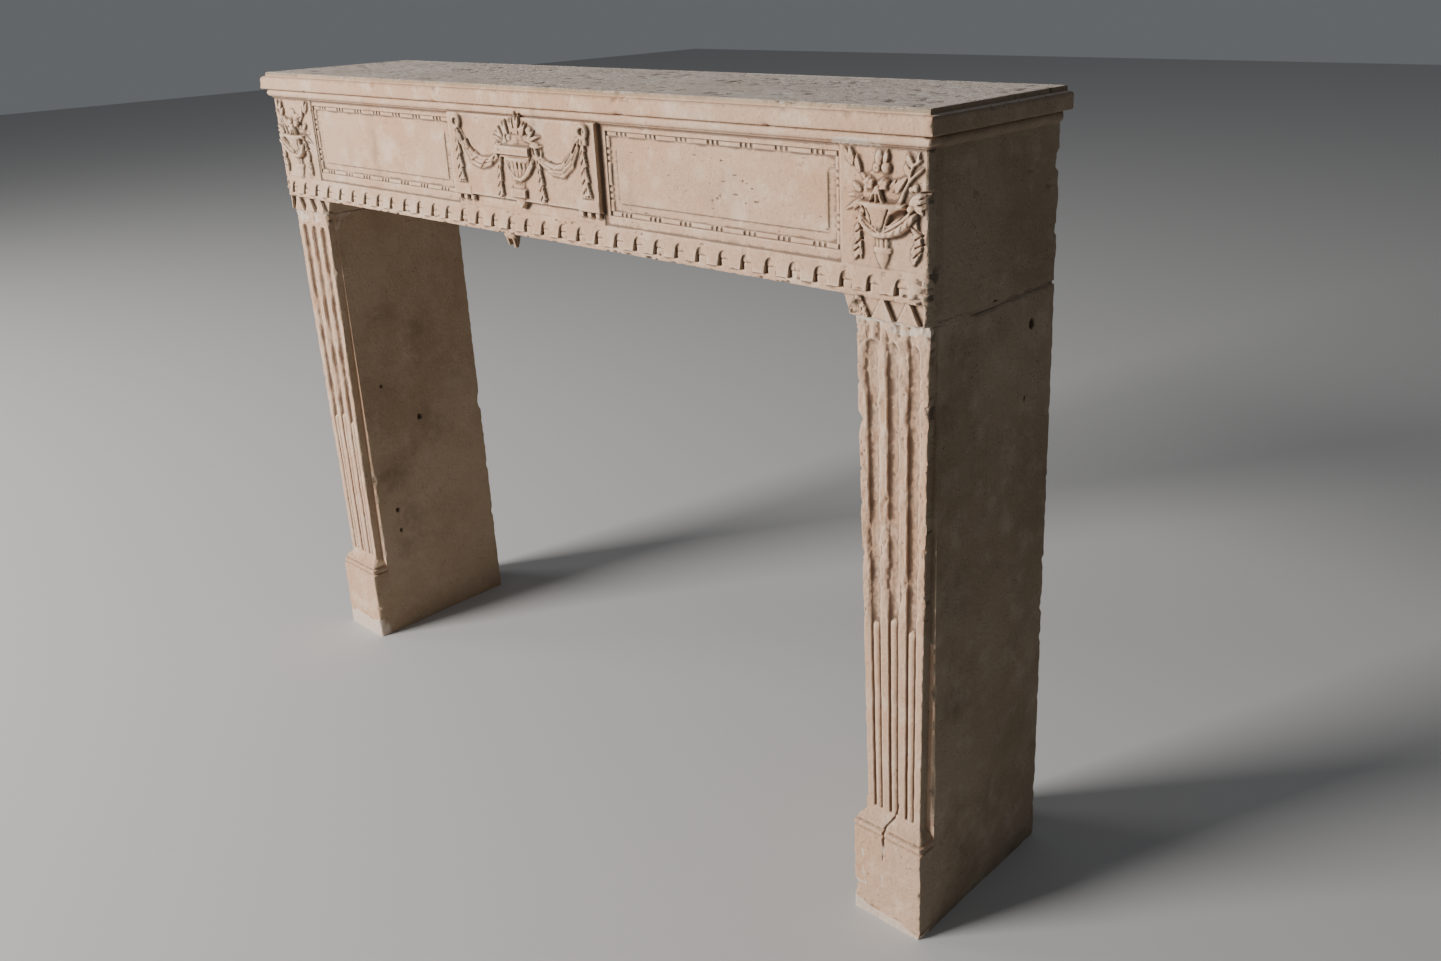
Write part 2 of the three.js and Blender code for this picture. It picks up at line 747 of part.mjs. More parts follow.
function reedBar(index) {
  const foot = plinthTop + fluteFootMargin - sink;
  const middleReed = (fluteCount - 1) / 2;
  const top = plinthTop + reedHeight + (index === middleReed ? reedStep : 0);
  const { half: topHalf } = fluteLayout(index, top);
  const levels = [[foot, 1], [top - topHalf, 1], [top - topHalf * 0.4, 0.75], [top, 0.2]];
  const steps = 5;
  return loft(levels.map(([z, share]) => {
    const { middle, half } = fluteLayout(index, z);
    const width = (half - reedGap) * share;
    const back = shaftSetback + fluteDepth + sink;
    const ring = [[middle - width, back, z]];
    for (let step = 0; step <= steps; step += 1) {
      const angle = Math.PI * (1 - step / steps);
      const out = fluteDepth * 0.55 * Math.sin(angle) * share;
      ring.push([middle + width * Math.cos(angle), shaftSetback + fluteDepth * 0.6 - out, z]);
    }
    ring.push([middle + width, back, z]);
    return ring;
  }));
}

function plinthSolid() {
  const full = shaftSetback;
  const lip = plinthBlockHeight;
  const round = lip + astragalHeight * 0.55;
  const top = lip + astragalHeight;
  const profile = [
    [full, 0], [full, lip - 2], [full - 1.6, lip], [full - 1.8, lip + 1.5],
    [full - 0.6, lip + 3.5], [full - 0.2, round], [full - 0.8, top - 2.5], [full - 2.4, top - 1],
    [full - 3.6, top], [full - 5, top + apronHeight * 0.12], [full * 0.42, top + apronHeight * 0.45],
    [full * 0.12, top + apronHeight * 0.8], [0, plinthTop],
  ];
  const share = shaftFootInset / shaftSetback;
  return mouldedSlab(profile, jambInside + shaftFootInset, halfWidth - shaftFootInset,
    shaftSetback, jambBodyPlane + sink, share);
}

function makeRightJamb() {
  const flutes = [];
  const reeds = [];
  for (let index = 0; index < fluteCount; index += 1) {
    flutes.push(fluteCutter(index));
    reeds.push(reedBar(index));
  }
  const shaft = shaftSolid().subtract(union(flutes));
  const body = box(jambInside, halfWidth, jambBodyPlane, depth, 0, jambTop);
  const reedRoom = box(jambInside, halfWidth, shaftSetback, depth, 0, jambTop);
  return union([body, shaft, plinthSolid(), union(reeds).intersect(reedRoom)]);
}

function pieceMesh(name, manifold) {
  const { vertProperties, triVerts, numProp } = manifold.getMesh();
  const positions = [];
  for (let vertex = 0; vertex < vertProperties.length; vertex += numProp) {
    positions.push(vertProperties[vertex], vertProperties[vertex + 1], vertProperties[vertex + 2]);
  }
  const geometry = new THREE.BufferGeometry();
  geometry.setAttribute('position', new THREE.Float32BufferAttribute(positions, 3));
  geometry.setIndex([...triVerts]);
  geometry.computeVertexNormals();
  const mesh = new THREE.Mesh(geometry, new THREE.MeshStandardMaterial(stone));
  mesh.name = name;
  return mesh;
}

const rightJamb = makeRightJamb();
const mantel = new THREE.Group();
mantel.add(pieceMesh('shelf_slab', makeShelf()));
mantel.add(pieceMesh('carved_lintel', makeLintel()));
mantel.add(pieceMesh('left_jamb', rightJamb.mirror([1, 0, 0])));
mantel.add(pieceMesh('right_jamb', rightJamb));
mantel.position.y = -(frontMost + depth) / 2;

export default mantel;
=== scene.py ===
"""Carved limestone fireplace mantel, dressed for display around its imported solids.

Sizes are millimetres in the mason's own frame: x runs along the width from the middle, y grows from
the plinth fronts towards the wall, and z is the height over the floor. Meshes are moved into the
row frame, in metres, as they are made.
"""

from __future__ import annotations

import logging
import math
from dataclasses import dataclass, field
from enum import Enum, IntEnum
from typing import Callable, Sequence

import bmesh
import bpy
import numpy as np
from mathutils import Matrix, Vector


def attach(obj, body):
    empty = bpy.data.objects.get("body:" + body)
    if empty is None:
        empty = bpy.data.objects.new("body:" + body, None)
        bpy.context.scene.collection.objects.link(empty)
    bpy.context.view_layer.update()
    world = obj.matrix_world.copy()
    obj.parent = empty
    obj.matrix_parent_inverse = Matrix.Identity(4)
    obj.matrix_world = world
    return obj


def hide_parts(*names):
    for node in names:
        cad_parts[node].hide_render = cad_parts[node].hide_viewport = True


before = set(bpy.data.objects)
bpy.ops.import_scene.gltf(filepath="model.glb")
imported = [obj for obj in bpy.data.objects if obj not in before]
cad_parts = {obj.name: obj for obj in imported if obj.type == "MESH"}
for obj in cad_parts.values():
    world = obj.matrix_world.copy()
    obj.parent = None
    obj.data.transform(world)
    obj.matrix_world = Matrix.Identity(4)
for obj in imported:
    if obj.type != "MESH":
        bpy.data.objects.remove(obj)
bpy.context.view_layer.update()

LOG = logging.getLogger("mantel")
Colour = tuple[float, float, float]
Point = tuple[float, float]
Point3 = tuple[float, float, float]
Holes = tuple[Point3, ...]
Part = tuple[slice, slice]
Profile = Callable[[np.ndarray, np.ndarray, np.ndarray], np.ndarray]


@dataclass(frozen=True)
class MantelSizes:
    """Sizes shared by the four stones, in millimetres."""

    height: float = 1080.0
    half_width: float = 705.0
    depth: float = 286.0
    row_shift: float = 140.0
    shelf_thickness: float = 28.0
    shelf_overhang: float = 15.0
    shelf_fillet_height: float = 7.0
    shelf_fillet_setback: float = 9.0
    lintel_top: float = 1051.7
    frieze_top: float = 1036.0
    frieze_bottom: float = 899.5
    band_top: float = 894.0
    band_bottom: float = 872.0
    soffit: float = 865.0
    capital_bottom: float = 839.0
    jamb_top: float = 836.0
    frieze_plane: float = 9.0
    bed_reach: float = 8.0
    band_reach: float = 6.0
    band_lip: float = 2.4
    fillet_reach: float = 3.6
    corner_width: float = 125.0
    tablet_half: float = 169.0
    tablet_rise: float = 8.0
    tablet_bottom: float = 917.5
    jamb_width: float = 110.0
    shaft_plane: float = 16.0
    rebate_plane: float = 30.0
    plinth_top: float = 158.0
    plinth_block: float = 132.0

    @property
    def jamb_inside(self) -> float:
        """Distance of a jamb's inner face from the middle."""
        return self.half_width - self.jamb_width


SIZES = MantelSizes()

# Loss in millimetres taken off where an arris stays whole
SPARED = 90.0


class Noise:
    """Seeded smooth noise over space, between -1 and 1."""

    side = 48

    def __init__(self, seed: int) -> None:
        """Fills the lattice."""
        draw = np.random.default_rng(seed)
        self.lattice = draw.uniform(-1.0, 1.0, (self.side,) * 3).astype(np.float32)

    def plane(self, u: np.ndarray, v: np.ndarray, cell: float, layer: int = 0) -> np.ndarray:
        """Noise over a plane.

        Args:
            u: first coordinate in millimetres.
            v: second coordinate in millimetres.
            cell: size of one patch in millimetres.
            layer: which independent pattern to read.

        Returns:
            Values between -1 and 1 in the shape that u and v broadcast to.
        """
        u, v = np.broadcast_arrays(np.asarray(u, float) / cell, np.asarray(v, float) / cell)
        iu, iv = np.floor(u).astype(int), np.floor(v).astype(int)
        fu, fv = u - iu, v - iv
        fu, fv = fu * fu * (3 - 2 * fu), fv * fv * (3 - 2 * fv)
        sheet = self.lattice[layer % self.side]
        n = self.side
        a = sheet[iu % n, iv % n] * (1 - fu) + sheet[(iu + 1) % n, iv % n] * fu
        b = sheet[iu % n, (iv + 1) % n] * (1 - fu) + sheet[(iu + 1) % n, (iv + 1) % n] * fu
        return a * (1 - fv) + b * fv

    def rough(self, u: np.ndarray, v: np.ndarray, cell: float, octaves: int = 3,
              layer: int = 0) -> np.ndarray:
        """Sum of noises of halving size, for eroded stone.

        Args:
            u: first coordinate in millimetres.
            v: second coordinate in millimetres.
            cell: size of the largest patches.
            octaves: how many sizes are added.
            layer: which independent pattern to read first.

        Returns:
            Values roughly between -1 and 1.
        """
        total, weight, share = 0.0, 0.0, 1.0
        for step in range(octaves):
            total = total + share * self.plane(u, v, cell / 2**step, layer + 7 * step)
            weight += share
            share *= 0.55
        return total / weight * 1.35


def clamp(values: np.ndarray) -> np.ndarray:
    """Values kept between 0 and 1."""
    return np.clip(values, 0, 1)


def bell(values: np.ndarray) -> np.ndarray:
    """Bell curve that is 1 at 0 and nearly gone at 2."""
    return np.exp(-(values**2))


def blur(field_map: np.ndarray, sigma: float) -> np.ndarray:
    """Soft blur of a map along both of its axes.

    Args:
        field_map: two-dimensional map.
        sigma: spread in cells.

    Returns:
        The blurred map, of the same shape.
    """
    reach = max(1, int(3 * sigma))
    taps = np.exp(-0.5 * (np.arange(-reach, reach + 1) / sigma) ** 2)
    taps /= taps.sum()
    for axis in (0, 1):
        pad = [(reach, reach) if axis == k else (0, 0) for k in (0, 1)]
        wide = np.pad(field_map, pad, mode="edge")
        total = np.zeros_like(field_map)
        for index, tap in enumerate(taps):
            cut = [slice(None), slice(None)]
            cut[axis] = slice(index, index + field_map.shape[axis])
            total += tap * wide[tuple(cut)]
        field_map = total
    return field_map


@dataclass
class Relief:
    """Height map of an upright face: millimetres out of its ground plane, by x and z."""

    x0: float
    x1: float
    z0: float
    z1: float
    step: float = 0.5
    heights: np.ndarray = field(init=False)
    # painted shade of hollows and of walls turned from the light; below zero, pale worn ridges
    painted_shade_and_wear: np.ndarray = field(init=False)

    def __post_init__(self) -> None:
        """Lays out the empty map."""
        self.xs = np.arange(self.x0, self.x1 + self.step / 2, self.step)
        self.zs = np.arange(self.z0, self.z1 + self.step / 2, self.step)
        self.heights = np.zeros((len(self.zs), len(self.xs)))
        self.painted_shade_and_wear = np.zeros_like(self.heights)

    def window(self, xa: float, xb: float, za: float, zb: float) -> tuple[Part, np.ndarray, np.ndarray]:
        """Part of the map inside a rectangle.

        Args:
            xa: left side.
            xb: right side.
            za: lower side.
            zb: upper side.

        Returns:
            The slices of the map, and the x and z of its cells.
        """
        c0, c1 = np.searchsorted(self.xs, [xa, xb])
        r0, r1 = np.searchsorted(self.zs, [za, zb])
        part = (slice(r0, r1), slice(c0, c1))
        return part, self.xs[None, c0:c1], self.zs[r0:r1, None]

    def raise_to(self, part: Part, heights: np.ndarray, inside: np.ndarray) -> None:
        """Keeps the higher of the map and new heights inside a mask."""
        old = self.heights[part]
        self.heights[part] = np.where(inside, np.maximum(old, heights), old)

    def block(self, xa: float, xb: float, za: float, zb: float, level: float,
              slope: float) -> tuple[Part, np.ndarray]:
        """Heights of the map with a rectangle moved to a level between steep sides.

        Args:
            xa: left side.
            xb: right side.
            za: lower side.
            zb: upper side.
            level: new height.
            slope: width of its sides.

        Returns:
            The slices of the map and the heights there.
        """
        part, x, z = self.window(xa, xb, za, zb)
        edge = np.minimum(np.minimum(x - xa, xb - x), np.minimum(z - za, zb - z))
        old = self.heights[part]
        return part, old + (level - old) * clamp(edge / slope)

    def plate(self, xa: float, xb: float, za: float, zb: float, top: float, slope: float = 0.8) -> None:
        """Raises a flat plate with steep sides to a level."""
        part, made = self.block(xa, xb, za, zb, top, slope)
        self.heights[part] = np.maximum(self.heights[part], made)

    def hollow(self, xa: float, xb: float, za: float, zb: float, floor: float, slope: float = 0.8) -> None:
        """Cuts a flat hollow with steep sides down to a level."""
        part, made = self.block(xa, xb, za, zb, floor, slope)
        self.heights[part] = np.minimum(self.heights[part], made)

    def dome(self, x: float, z: float, rx: float, rz: float, rise: float, base: float,
             turn: float = 0.0, power: float = 0.5, dimple: float = 0.0) -> None:
        """Raises a rounded boss.

        Args:
            x: middle along the width.
            z: middle height.
            rx: half width.
            rz: half height.
            rise: how far its top stands over base.
            base: level that it stands on.
            turn: turn in radians.
            power: 0.5 for a ball, less for a flatter top.
            dimple: depth of a hollow in its middle.
        """
        reach = max(rx, rz)
        part, gx, gz = self.window(x - reach, x + reach, z - reach, z + reach)
        c, s = math.cos(turn), math.sin(turn)
        u = ((gx - x) * c + (gz - z) * s) / rx
        v = (-(gx - x) * s + (gz - z) * c) / rz
        spread = u * u + v * v
        height = base + rise * np.clip(1 - spread, 0, None) ** power - dimple * np.exp(-spread * 14)
        self.raise_to(part, height, spread < 1)

    def pit(self, x: float, z: float, radius: float, depth: float, stretch: float = 1.0) -> None:
        """Sinks a rounded pit.

        Args:
            x: its middle along the width.
            z: its middle height.
            radius: half its height.
            depth: how deep it is.
            stretch: its width for its height.
        """
        reach = radius * max(1.0, stretch)
        part, gx, gz = self.window(x - reach, x + reach, z - reach, z + reach)
        spread = ((gx - x) / (radius * stretch)) ** 2 + ((gz - z) / radius) ** 2
        self.heights[part] -= depth * np.clip(1 - spread, 0, None) ** 0.7

    def pock(self, draw: np.random.Generator, xs: np.ndarray, zs: np.ndarray, ranges: Sequence[Point],
             share: float = 1.0) -> None:
        """Sinks a pit of random size at each of some places.

        Args:
            draw: source of the random sizes.
            xs: places along the width.
            zs: heights of the places.
            ranges: least and greatest radius, depth and stretch.
            share: factor on the depth.
        """
        for x, z in zip(xs, zs):
            radius, depth, stretch = (draw.uniform(*ends) for ends in ranges)
            self.pit(x, z, radius, depth * share, stretch)

    def sweep(self, path: Sequence[Point], radii: Sequence[float], profile: Profile, base: float,
              blunt: bool = False) -> None:
        """Raises a bar along a path.

        Args:
            path: points [x, z] of the middle line.
            radii: half width at each point.
            profile: height from the share along, the distance along and the signed share across.
            base: level that it stands on.
            blunt: whether its end is cut square.
        """
        part, best, across, along = self.follow(path, radii, blunt)
        walked = sum(math.dist(a, b) for a, b in zip(path[:-1], path[1:]))
        height = base + profile(along / walked, along, np.clip(across, -1, 1))
        self.raise_to(part, height, best < 1)

    def score(self, path: Sequence[Point], radii: Sequence[float], depth: float) -> None:
        """Cuts a rounded groove along a path."""
        part, best, _, _ = self.follow(path, radii, False)
        self.heights[part] -= depth * clamp(1 - best * best) ** 0.7

    def follow(self, path: Sequence[Point], radii: Sequence[float], blunt: bool) -> tuple:
        """Measures the map against a path.

        Args:
            path: points [x, z] of the middle line.
            radii: half width at each point.
            blunt: whether its end is cut square.

        Returns:
            The slices of the map round the path, then the share of the half width off the path, the same
            with its sign, and the distance along the path, for the cells there.
        """
        line = np.asarray(path, float)
        low, high = line.min(0) - max(radii), line.max(0) + max(radii)
        part, gx, gz = self.window(low[0], high[0], low[1], high[1])
        shape = np.broadcast(gx, gz).shape
        best, across, along = np.full(shape, 9.0), np.zeros(shape), np.zeros(shape)
        walked = 0.0
        for (a, b), (ra, rb) in zip(zip(line[:-1], line[1:]), zip(radii[:-1], radii[1:])):
            run = b - a
            length = math.hypot(*run)
            ahead = ((gx - a[0]) * run[0] + (gz - a[1]) * run[1]) / length**2
            t = clamp(ahead)
            radius = ra + (rb - ra) * t
            off = np.hypot(gx - a[0] - t * run[0], gz - a[1] - t * run[1]) / radius
            if blunt and np.array_equal(b, line[-1]):
                off = np.where(ahead > 1, 9.0, off)
            side = np.sign((gx - a[0]) * run[1] - (gz - a[1]) * run[0])
            closer = off < best
            best = np.where(closer, off, best)
            across = np.where(closer, off * side, across)
            along = np.where(closer, walked + t * length, along)
            walked += length
        return part, best, across, along

    def rod(self, path: Sequence[Point], radii: Sequence[float], rise: float, base: float) -> None:
        """Raises a round stem or strand along a path."""
        self.sweep(path, radii, lambda t, s, a: rise * np.sqrt(1 - a * a), base)

    def leaf(self, stalk: Point, tip: Point, width: float, rise: float, base: float,
             bend: float = 0.0) -> None:
        """Raises a pointed, cupped leaf with a midrib.

        Args:
            stalk: where it starts.
            tip: where it ends.
            width: its widest part.
            rise: height of its blade.
            base: level that it stands on.
            bend: sideways swing of its middle.
        """
        dx, dz = tip[0] - stalk[0], tip[1] - stalk[1]
        length = math.hypot(dx, dz)
        path, radii = [], []
        for t in np.linspace(0, 1, 8):
            swing = bend * 4 * t * (1 - t) / length
            path.append((stalk[0] + dx * t - dz * swing, stalk[1] + dz * t + dx * swing))
            radii.append(width / 2 * (0.25 + 0.75 * math.sin(math.pi * t**0.8) ** 0.7) * (1 - 0.6 * t**4))

        def blade(t: np.ndarray, s: np.ndarray, a: np.ndarray) -> np.ndarray:
            """Height over the blade."""
            body = rise * (1 - a**6) ** 0.5 * (0.62 + 0.38 * np.abs(a) ** 1.5)
            return body * (0.8 + 0.2 * np.sin(math.pi * clamp(t))) + 0.16 * rise * bell(a / 0.16)

        self.sweep(path, radii, blade, base)

    def turned(self, x: float, foot: float, outline: Sequence[Point], flatness: float, base: float,
               ribs: int = 0, rib_depth: float = 0.0, rib_span: Point = (0.0, 1e9)) -> None:
        """Raises a turned vessel cut flat against the face.

        Args:
            x: its axis.
            foot: height of its foot.
            outline: points [height over the foot, radius].
            flatness: how far it stands out for its radius.
            base: level that it stands on.
            ribs: number of ribs round its half.
            rib_depth: depth of the grooves between ribs.
            rib_span: lowest and highest height over the foot that has ribs.
        """
        ups = [up for up, _ in outline]
        radii = [radius for _, radius in outline]
        widest = max(radii)
        part, gx, gz = self.window(x - widest, x + widest, foot + ups[0], foot + ups[-1])
        up = gz - foot
        radius = np.interp(up, ups, radii) + 1e-6
        share = np.clip((gx - x) / radius, -1, 1)
        height = base + flatness * radius * np.sqrt(1 - share * share) + 0.8
        if ribs:
            angle = np.arcsin(share)
            groove = 1 - np.abs(np.cos(angle * ribs))
            within = (up > rib_span[0]) & (up < rib_span[1])
            height = height - np.where(within, rib_depth * groove**2, 0)
        self.raise_to(part, height, np.abs(gx - x) < radius)

    def settle(self, softness: float, shade_reach: float) -> None:
        """Softens the carving a little and measures its hollows, its walls that look right and its
        down-facing slopes, for painted shade.

        Args:
            softness: spread of the softening in millimetres.
            shade_reach: spread of the hollow measure in millimetres.
        """
        self.heights = blur(self.heights, softness / self.step)
        # Painted shade: hollows and fine creases darken; below zero the measure marks raised ridges, which
        # turn pale as worn edges.
        broad = (blur(self.heights, shade_reach / self.step) - self.heights) / 2.5
        crease = (blur(self.heights, 1.1 / self.step) - self.heights) / 1.1
        # Painted shade on walls that look right, away from the key light, and on slopes that face down.
        away = clamp(-np.gradient(self.heights, self.step, axis=1) - 0.45) * 0.5
        under = clamp(np.gradient(self.heights, self.step, axis=0) - 0.5) * 0.2
        self.painted_shade_and_wear = np.clip(broad + 0.7 * crease + away + under, -1, 1)

    def read(self, table: np.ndarray, x: np.ndarray, z: np.ndarray) -> np.ndarray:
        """Value of one of the maps at points of the face.

        Args:
            table: the map to read.
            x: places along the width.
            z: heights of the places.

        Returns:
            The values between the cells.
        """
        u = np.clip((x - self.x0) / self.step, 0, len(self.xs) - 1.001)
        v = np.clip((z - self.z0) / self.step, 0, len(self.zs) - 1.001)
        iu, iv = u.astype(int), v.astype(int)
        fu, fv = u - iu, v - iv
        low = table[iv, iu] * (1 - fu) + table[iv, iu + 1] * fu
        high = table[iv + 1, iu] * (1 - fu) + table[iv + 1, iu + 1] * fu
        return low * (1 - fv) + high * fv


def graded(stops: Sequence[tuple[float, float]], lines: Sequence[float] = (),
           closest: float = 0.3) -> np.ndarray:
    """Grid lines whose spacing changes from stretch to stretch.

    Args:
        stops: where each stretch starts, and its spacing; the last stop only ends the run.
        lines: further lines that have to be there.
        closest: least gap kept between two lines.

    Returns:
        Sorted positions.
    """
    found = []
    for (start, gap), (end, _) in zip(stops[:-1], stops[1:]):
        count = max(1, round((end - start) / gap))
        found.extend(np.linspace(start, end, count, endpoint=False))
    first, last = stops[0][0], stops[-1][0]
    kept = [(line, 0) for line in lines if first < line < last] + [(value, 1) for value in found[1:]]
    chosen = [first, last]
    for value, _ in sorted(kept, key=lambda pair: (pair[1], pair[0])):
        if min(abs(value - other) for other in chosen[-80:] + chosen[:2]) > closest:
            chosen.append(value)
    ordered = np.array(sorted(chosen))
    keep = np.concatenate([[True], np.diff(ordered) > closest * 0.6])
    return ordered[keep]


def rectangle(low: Point, high: Point, nx: int, ny: int) -> np.ndarray:
    """Ring of points round a rectangle.

    Args:
        low: least x and y.
        high: greatest x and y.
        nx: number of steps along x.
        ny: number of steps along y.

    Returns:
        The points, front row first, then right, back and left.
    """
    xs, ys = np.linspace(low[0], high[0], nx + 1), np.linspace(low[1], high[1], ny + 1)
    front = np.column_stack([xs, np.full(nx + 1, low[1])])
    right = np.column_stack([np.full(ny, high[0]), ys[1:]])
    back = np.column_stack([xs[::-1][1:], np.full(nx, high[1])])
    left = np.column_stack([np.full(ny - 1, low[0]), ys[::-1][1:-1]])
    return np.concatenate([front, right, back, left])


class Skin:
    """Closed surface gathered from loops, sheets and caps."""

    def __init__(self) -> None:
        """Starts with nothing."""
        self.points: list[np.ndarray] = []
        self.faces: list[list[int]] = []
        self.count = 0

    def add(self, points: np.ndarray) -> np.ndarray:
        """Adds points and returns their numbers in the same layout.

        Args:
            points: the points, by any layout and axis.

        Returns:
            Their numbers in the same layout.
        """
        flat = points.reshape(-1, 3)
        numbers = np.arange(self.count, self.count + len(flat)).reshape(points.shape[:-1])
        self.points.append(flat)
        self.count += len(flat)
        return numbers

    def loops(self, rings: np.ndarray) -> np.ndarray:
        """Skins a stack of closed rings.

        Args:
            rings: points by level, place in the ring and axis.

        Returns:
            Their numbers by level and place.
        """
        ids = self.add(rings)
        nxt = np.roll(ids, -1, axis=1)
        quads = np.stack([ids[:-1], nxt[:-1], nxt[1:], ids[1:]], -1).reshape(-1, 4)
        self.faces.extend(quads.tolist())
        return ids

    def drum(self, rings: np.ndarray) -> None:
        """Skins a stack of closed rings and closes its ends with flat faces.

        Args:
            rings: points by level, place in the ring and axis.
        """
        ids = self.loops(rings)
        self.cap(ids[0])
        self.cap(ids[-1])

    def cap(self, ids: np.ndarray) -> None:
        """Closes a ring with one flat face."""
        self.faces.append(ids.tolist())

    def lid(self, ring: np.ndarray, points: np.ndarray) -> None:
        """Closes a ring with a grid of points whose border is that ring.

        Args:
            ring: numbers of the ring's points, front row first, then right, back and left.
            points: grid by row from front to back, column from left to right, and axis.
        """
        rows, columns = points.shape[:2]
        ids = self.add(points)
        nx, ny = columns - 1, rows - 1
        ids[0, :] = ring[: nx + 1]
        ids[:, -1] = ring[nx: nx + ny + 1]
        ids[-1, ::-1] = ring[nx + ny: 2 * nx + ny + 1]
        ids[1:, 0] = ring[2 * nx + ny:][::-1]
        quads = np.stack([ids[:-1, :-1], ids[:-1, 1:], ids[1:, 1:], ids[1:, :-1]], -1)
        self.faces.extend(quads.reshape(-1, 4).tolist())

    def bridge(self, ids_a: np.ndarray, keys_a: np.ndarray, ids_b: np.ndarray, keys_b: np.ndarray) -> None:
        """Joins two closed rings of different counts with triangles.

        Args:
            ids_a: numbers of the first ring.
            keys_a: rising measure along it.
            ids_b: numbers of the second ring.
            keys_b: rising measure along it.
        """
        ids_a, ids_b = np.append(ids_a, ids_a[0]), np.append(ids_b, ids_b[0])
        end = max(keys_a[-1], keys_b[-1]) + 1
        keys_a, keys_b = np.append(keys_a, end), np.append(keys_b, end)
        i = j = 0
        while i < len(ids_a) - 1 or j < len(ids_b) - 1:
            step_a = j == len(ids_b) - 1 or (i < len(ids_a) - 1 and keys_a[i + 1] <= keys_b[j + 1])
            if step_a:
                self.faces.append([int(ids_a[i]), int(ids_a[i + 1]), int(ids_b[j])])
                i += 1
            else:
                self.faces.append([int(ids_a[i]), int(ids_b[j + 1]), int(ids_b[j])])
                j += 1

    def build(self, name: str, weld: float = 0.02) -> bpy.types.Object:
        """Makes the object in the row frame.

        Args:
            name: name of the piece.
            weld: distance in millimetres within which points become one.

        Returns:
            The linked object.
        """
        points = np.concatenate(self.points)
        points = (points - np.array([0.0, SIZES.row_shift, 0.0])) / 1000.0
        mesh = bpy.data.meshes.new(name)
        mesh.from_pydata(points.tolist(), [], self.faces)
        work = bmesh.new()
        work.from_mesh(mesh)
        bmesh.ops.remove_doubles(work, verts=work.verts, dist=weld / 1000.0)
        bmesh.ops.recalc_face_normals(work, faces=work.faces)
        work.to_mesh(mesh)
        work.free()
        piece = bpy.data.objects.new(name, mesh)
        bpy.context.scene.collection.objects.link(piece)
        return piece


def thin_out(piece: bpy.types.Object, most: int) -> None:
    """Collapses the flattest faces until a piece has at most a number of triangles.

    Args:
        piece: object to thin.
        most: greatest number of triangles to keep.
    """
    triangles = sum(len(face.vertices) - 2 for face in piece.data.polygons)
    if triangles > most:
        modifier = piece.modifiers.new("thin", "DECIMATE")
        modifier.ratio = most / triangles
        graph = bpy.context.evaluated_depsgraph_get()
        thinned = bpy.data.meshes.new_from_object(piece.evaluated_get(graph))
        piece.modifiers.remove(modifier)
        piece.data = thinned
        thinned.name = piece.name
    LOG.info("%s: %d of %d triangles", piece.name, len(piece.data.polygons), triangles)


def soften(piece: bpy.types.Object, sharp: float = 42.0) -> None:
    """Shades a piece smooth, apart from edges sharper than an angle in degrees."""
    piece.data.polygons.foreach_set("use_smooth", [True] * len(piece.data.polygons))
    piece.data.set_sharp_from_angle(angle=math.radians(sharp))


def mason_points(piece: bpy.types.Object) -> np.ndarray:
    """Vertices of a piece in millimetres in the mason's frame.

    Args:
        piece: the object.

    Returns:
        A row for each vertex.
    """
    flat = np.empty(len(piece.data.vertices) * 3)
    piece.data.vertices.foreach_get("co", flat)
    return flat.reshape(-1, 3) * 1000.0 + np.array([0.0, SIZES.row_shift, 0.0])


def paint(piece: bpy.types.Object, name: str, values: np.ndarray) -> None:
    """Stores a value at each vertex for the material to read."""
    layer = piece.data.attributes.new(name, "FLOAT", "POINT")
    layer.data.foreach_set("value", values.astype(np.float32))


def chip(points: np.ndarray, corner: tuple, outward: Point, axes: tuple[int, int],
         depth: np.ndarray) -> None:
    """Cuts an arris back, in place, to a slanted face of varying depth.

    Args:
        points: points to change.
        corner: where the arris is along the two axes, as numbers or as a number for each point.
        outward: direction out of the arris in the two axes.
        axes: the two axes across the arris.
        depth: how much is lost at each point, in millimetres.
    """
    across = np.array(outward) / math.hypot(*outward)
    first, second = points[..., axes[0]], points[..., axes[1]]
    over = (first - corner[0]) * across[0] + (second - corner[1]) * across[1]
    cut = np.clip(over + depth, 0, None)
    points[..., axes[0]] -= cut * across[0]
    points[..., axes[1]] -= cut * across[1]


def wear(noise: Noise, along: np.ndarray, across: np.ndarray, plain: float, chips: float, cell: float,
         layer: int) -> np.ndarray:
    """Loss along an arris: a little everywhere and more where chips fall."""
    slow = noise.rough(along, across * 0.6, cell, 3, layer)
    return plain * (1.2 + 0.8 * noise.plane(along, across, 9.0,
                                            layer + 3)) + chips * clamp(slow - 0.25) ** 1.3


@dataclass(frozen=True)
class Softbox:
    """Square soft light that looks at a point."""

    name: str
    place: Point3
    target: Point3
    size: float
    power: float
    tint: Colour

    def hang(self, scene: bpy.types.Scene) -> None:
        """Puts the light into a scene.

        Args:
            scene: scene that it lights.
        """
        data = bpy.data.lights.new(self.name, "AREA")
        data.shape = "SQUARE"
        data.size = self.size
        data.energy = self.power
        data.color = self.tint
        light = bpy.data.objects.new(self.name, data)
        light.location = self.place
        sight = Vector(self.target) - Vector(self.place)
        light.rotation_euler = sight.to_track_quat("-Z", "Y").to_euler()
        scene.collection.objects.link(light)


